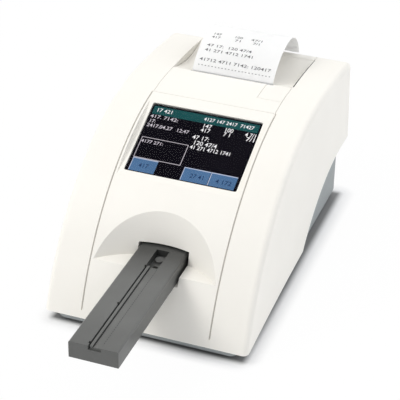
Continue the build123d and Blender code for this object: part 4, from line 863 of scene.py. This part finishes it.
def outside_pan(tree):
    """How far a point of the floor lies outside the rectangle under the pan, in metres."""
    place = add(tree, "ShaderNodeTexCoord").outputs["Object"]
    steps = (
        ("SUBTRACT", {1: (0, PAN_MIDDLE, 0)}),
        ("ABSOLUTE", {}),
        ("SUBTRACT", {1: (*PAN_HALF, 0)}),
        ("MAXIMUM", {1: (0, 0, 0)}),
    )
    for operation, second in steps:
        step = add(tree, "ShaderNodeVectorMath", {0: place, **second}, operation=operation)
        place = step.outputs["Vector"]
    return add(tree, "ShaderNodeVectorMath", {0: place}, operation="LENGTH").outputs["Value"]


def floor_material():
    """Studio paper with a painted contact shadow beside the pan, which keeps the shadow round the object
    and runs out to plain white.
    """
    # Matt white paper: even, with hardly any gloss
    material = surface(
        "studio_paper", "FFFFFF", "FDFDFD",
        rough=(0.8, 0.9), grain=1.2, depth=0.01, patch=300.0, shader={"Specular IOR Level": 0.1},
    )
    tree = material.node_tree
    distance = outside_pan(tree)
    # Painted contact shadow: beside the pan the paper's colour is darkened, so the shadow is darkest
    # where the object stands
    painted_contact_shadow = add(
        tree, "ShaderNodeMapRange", {"Value": distance, "From Max": PAINTED_SHADOW_REACH, "To Min": 0.3}
    )
    toned(material, painted_contact_shadow.outputs["Result"])
    near, far = SHADOW_REACH
    away = add(
        tree, "ShaderNodeMapRange",
        {"Value": distance, "From Min": near, "From Max": far, "To Max": 0.97},
    )
    share = add(
        tree, "ShaderNodeMath", {0: away.outputs["Result"], 1: direct_rays(tree)},
        operation="MULTIPLY",
    )
    white = add(tree, "ShaderNodeEmission", {"Color": linear("FFFFFF"), "Strength": 1.0})
    paper = tree.nodes["Principled BSDF"].outputs["BSDF"]
    mix = add(
        tree, "ShaderNodeMixShader",
        {"Fac": share.outputs["Value"], 1: paper, 2: white.outputs["Emission"]},
    )
    feed(tree, tree.nodes["Material Output"], {"Surface": mix.outputs["Shader"]})
    return material


def floor():
    """The table top."""
    form = bmesh.new()
    bmesh.ops.create_grid(form, x_segments=4, y_segments=4, size=4.0)
    mesh = bpy.data.meshes.new("studio_floor")
    form.to_mesh(mesh)
    form.free()
    mesh.materials.append(floor_material())
    thing = bpy.data.objects.new("studio_floor", mesh)
    bpy.context.scene.collection.objects.link(thing)


def world(strength):
    """Soft even light from all round, and white where the camera, metal or glass look past the floor."""
    sky = bpy.data.worlds.new("studio")
    sky.use_nodes = True
    tree = sky.node_tree
    tree.nodes.clear()
    soft = add(tree, "ShaderNodeBackground", {"Color": linear("FAFCFF"), "Strength": strength})
    white = add(tree, "ShaderNodeBackground", {"Color": linear("FFFFFF"), "Strength": 1.0})
    mix = add(
        tree, "ShaderNodeMixShader",
        {"Fac": direct_rays(tree), 1: soft.outputs["Background"], 2: white.outputs["Background"]},
    )
    add(tree, "ShaderNodeOutputWorld", {"Surface": mix.outputs["Shader"]})
    bpy.context.scene.world = sky


def lamp(name, place, size, power, colour):
    """A soft square lamp at a place, turned to the middle of the casing."""
    data = bpy.data.lights.new(name, "AREA")
    data.shape = "SQUARE"
    data.size = size
    data.energy = power
    data.color = linear(colour)[:3]
    thing = bpy.data.objects.new(name, data)
    thing.location = place
    thing.rotation_euler = (LAMP_AIM - Vector(place)).to_track_quat("-Z", "Y").to_euler()
    bpy.context.scene.collection.objects.link(thing)


def camera():
    """The photograph's view, from above the object's right front corner."""
    elevation = math.radians(CAMERA_ELEVATION)
    azimuth = math.radians(CAMERA_AZIMUTH)
    roll = math.radians(CAMERA_ROLL)
    level = Vector((math.cos(azimuth), math.sin(azimuth), 0))
    forward = Vector((-math.sin(azimuth), math.cos(azimuth), 0))
    ahead = math.cos(elevation) * forward - math.sin(elevation) * Vector((0, 0, 1))
    upright = level.cross(ahead)
    right = math.cos(roll) * level + math.sin(roll) * upright
    up = math.cos(roll) * upright - math.sin(roll) * level
    data = bpy.data.cameras.new("photo_camera")
    data.lens = CAMERA_LENS
    data.sensor_width = CAMERA_SENSOR
    data.clip_start = 0.01
    data.clip_end = 50.0
    thing = bpy.data.objects.new("photo_camera", data)
    turn = Matrix((right, up, -ahead)).transposed().to_4x4()
    thing.matrix_world = Matrix.Translation(CAMERA_PLACE) @ turn
    bpy.context.scene.collection.objects.link(thing)
    bpy.context.scene.camera = thing


floor()
world(strength=0.58)
lamp("key_from_left_front", (-1.05, -0.8, 1.4), size=0.9, power=16.2, colour="FFFDF9")
lamp("fill_from_right_rear", (1.0, 0.5, 0.9), size=1.2, power=5.0, colour="F8FAFF")
lamp("soft_light_from_behind", (0.1, 0.9, 1.5), size=1.2, power=4.5, colour="FFFDF9")
camera()
bpy.context.scene.view_settings.view_transform = "Standard"
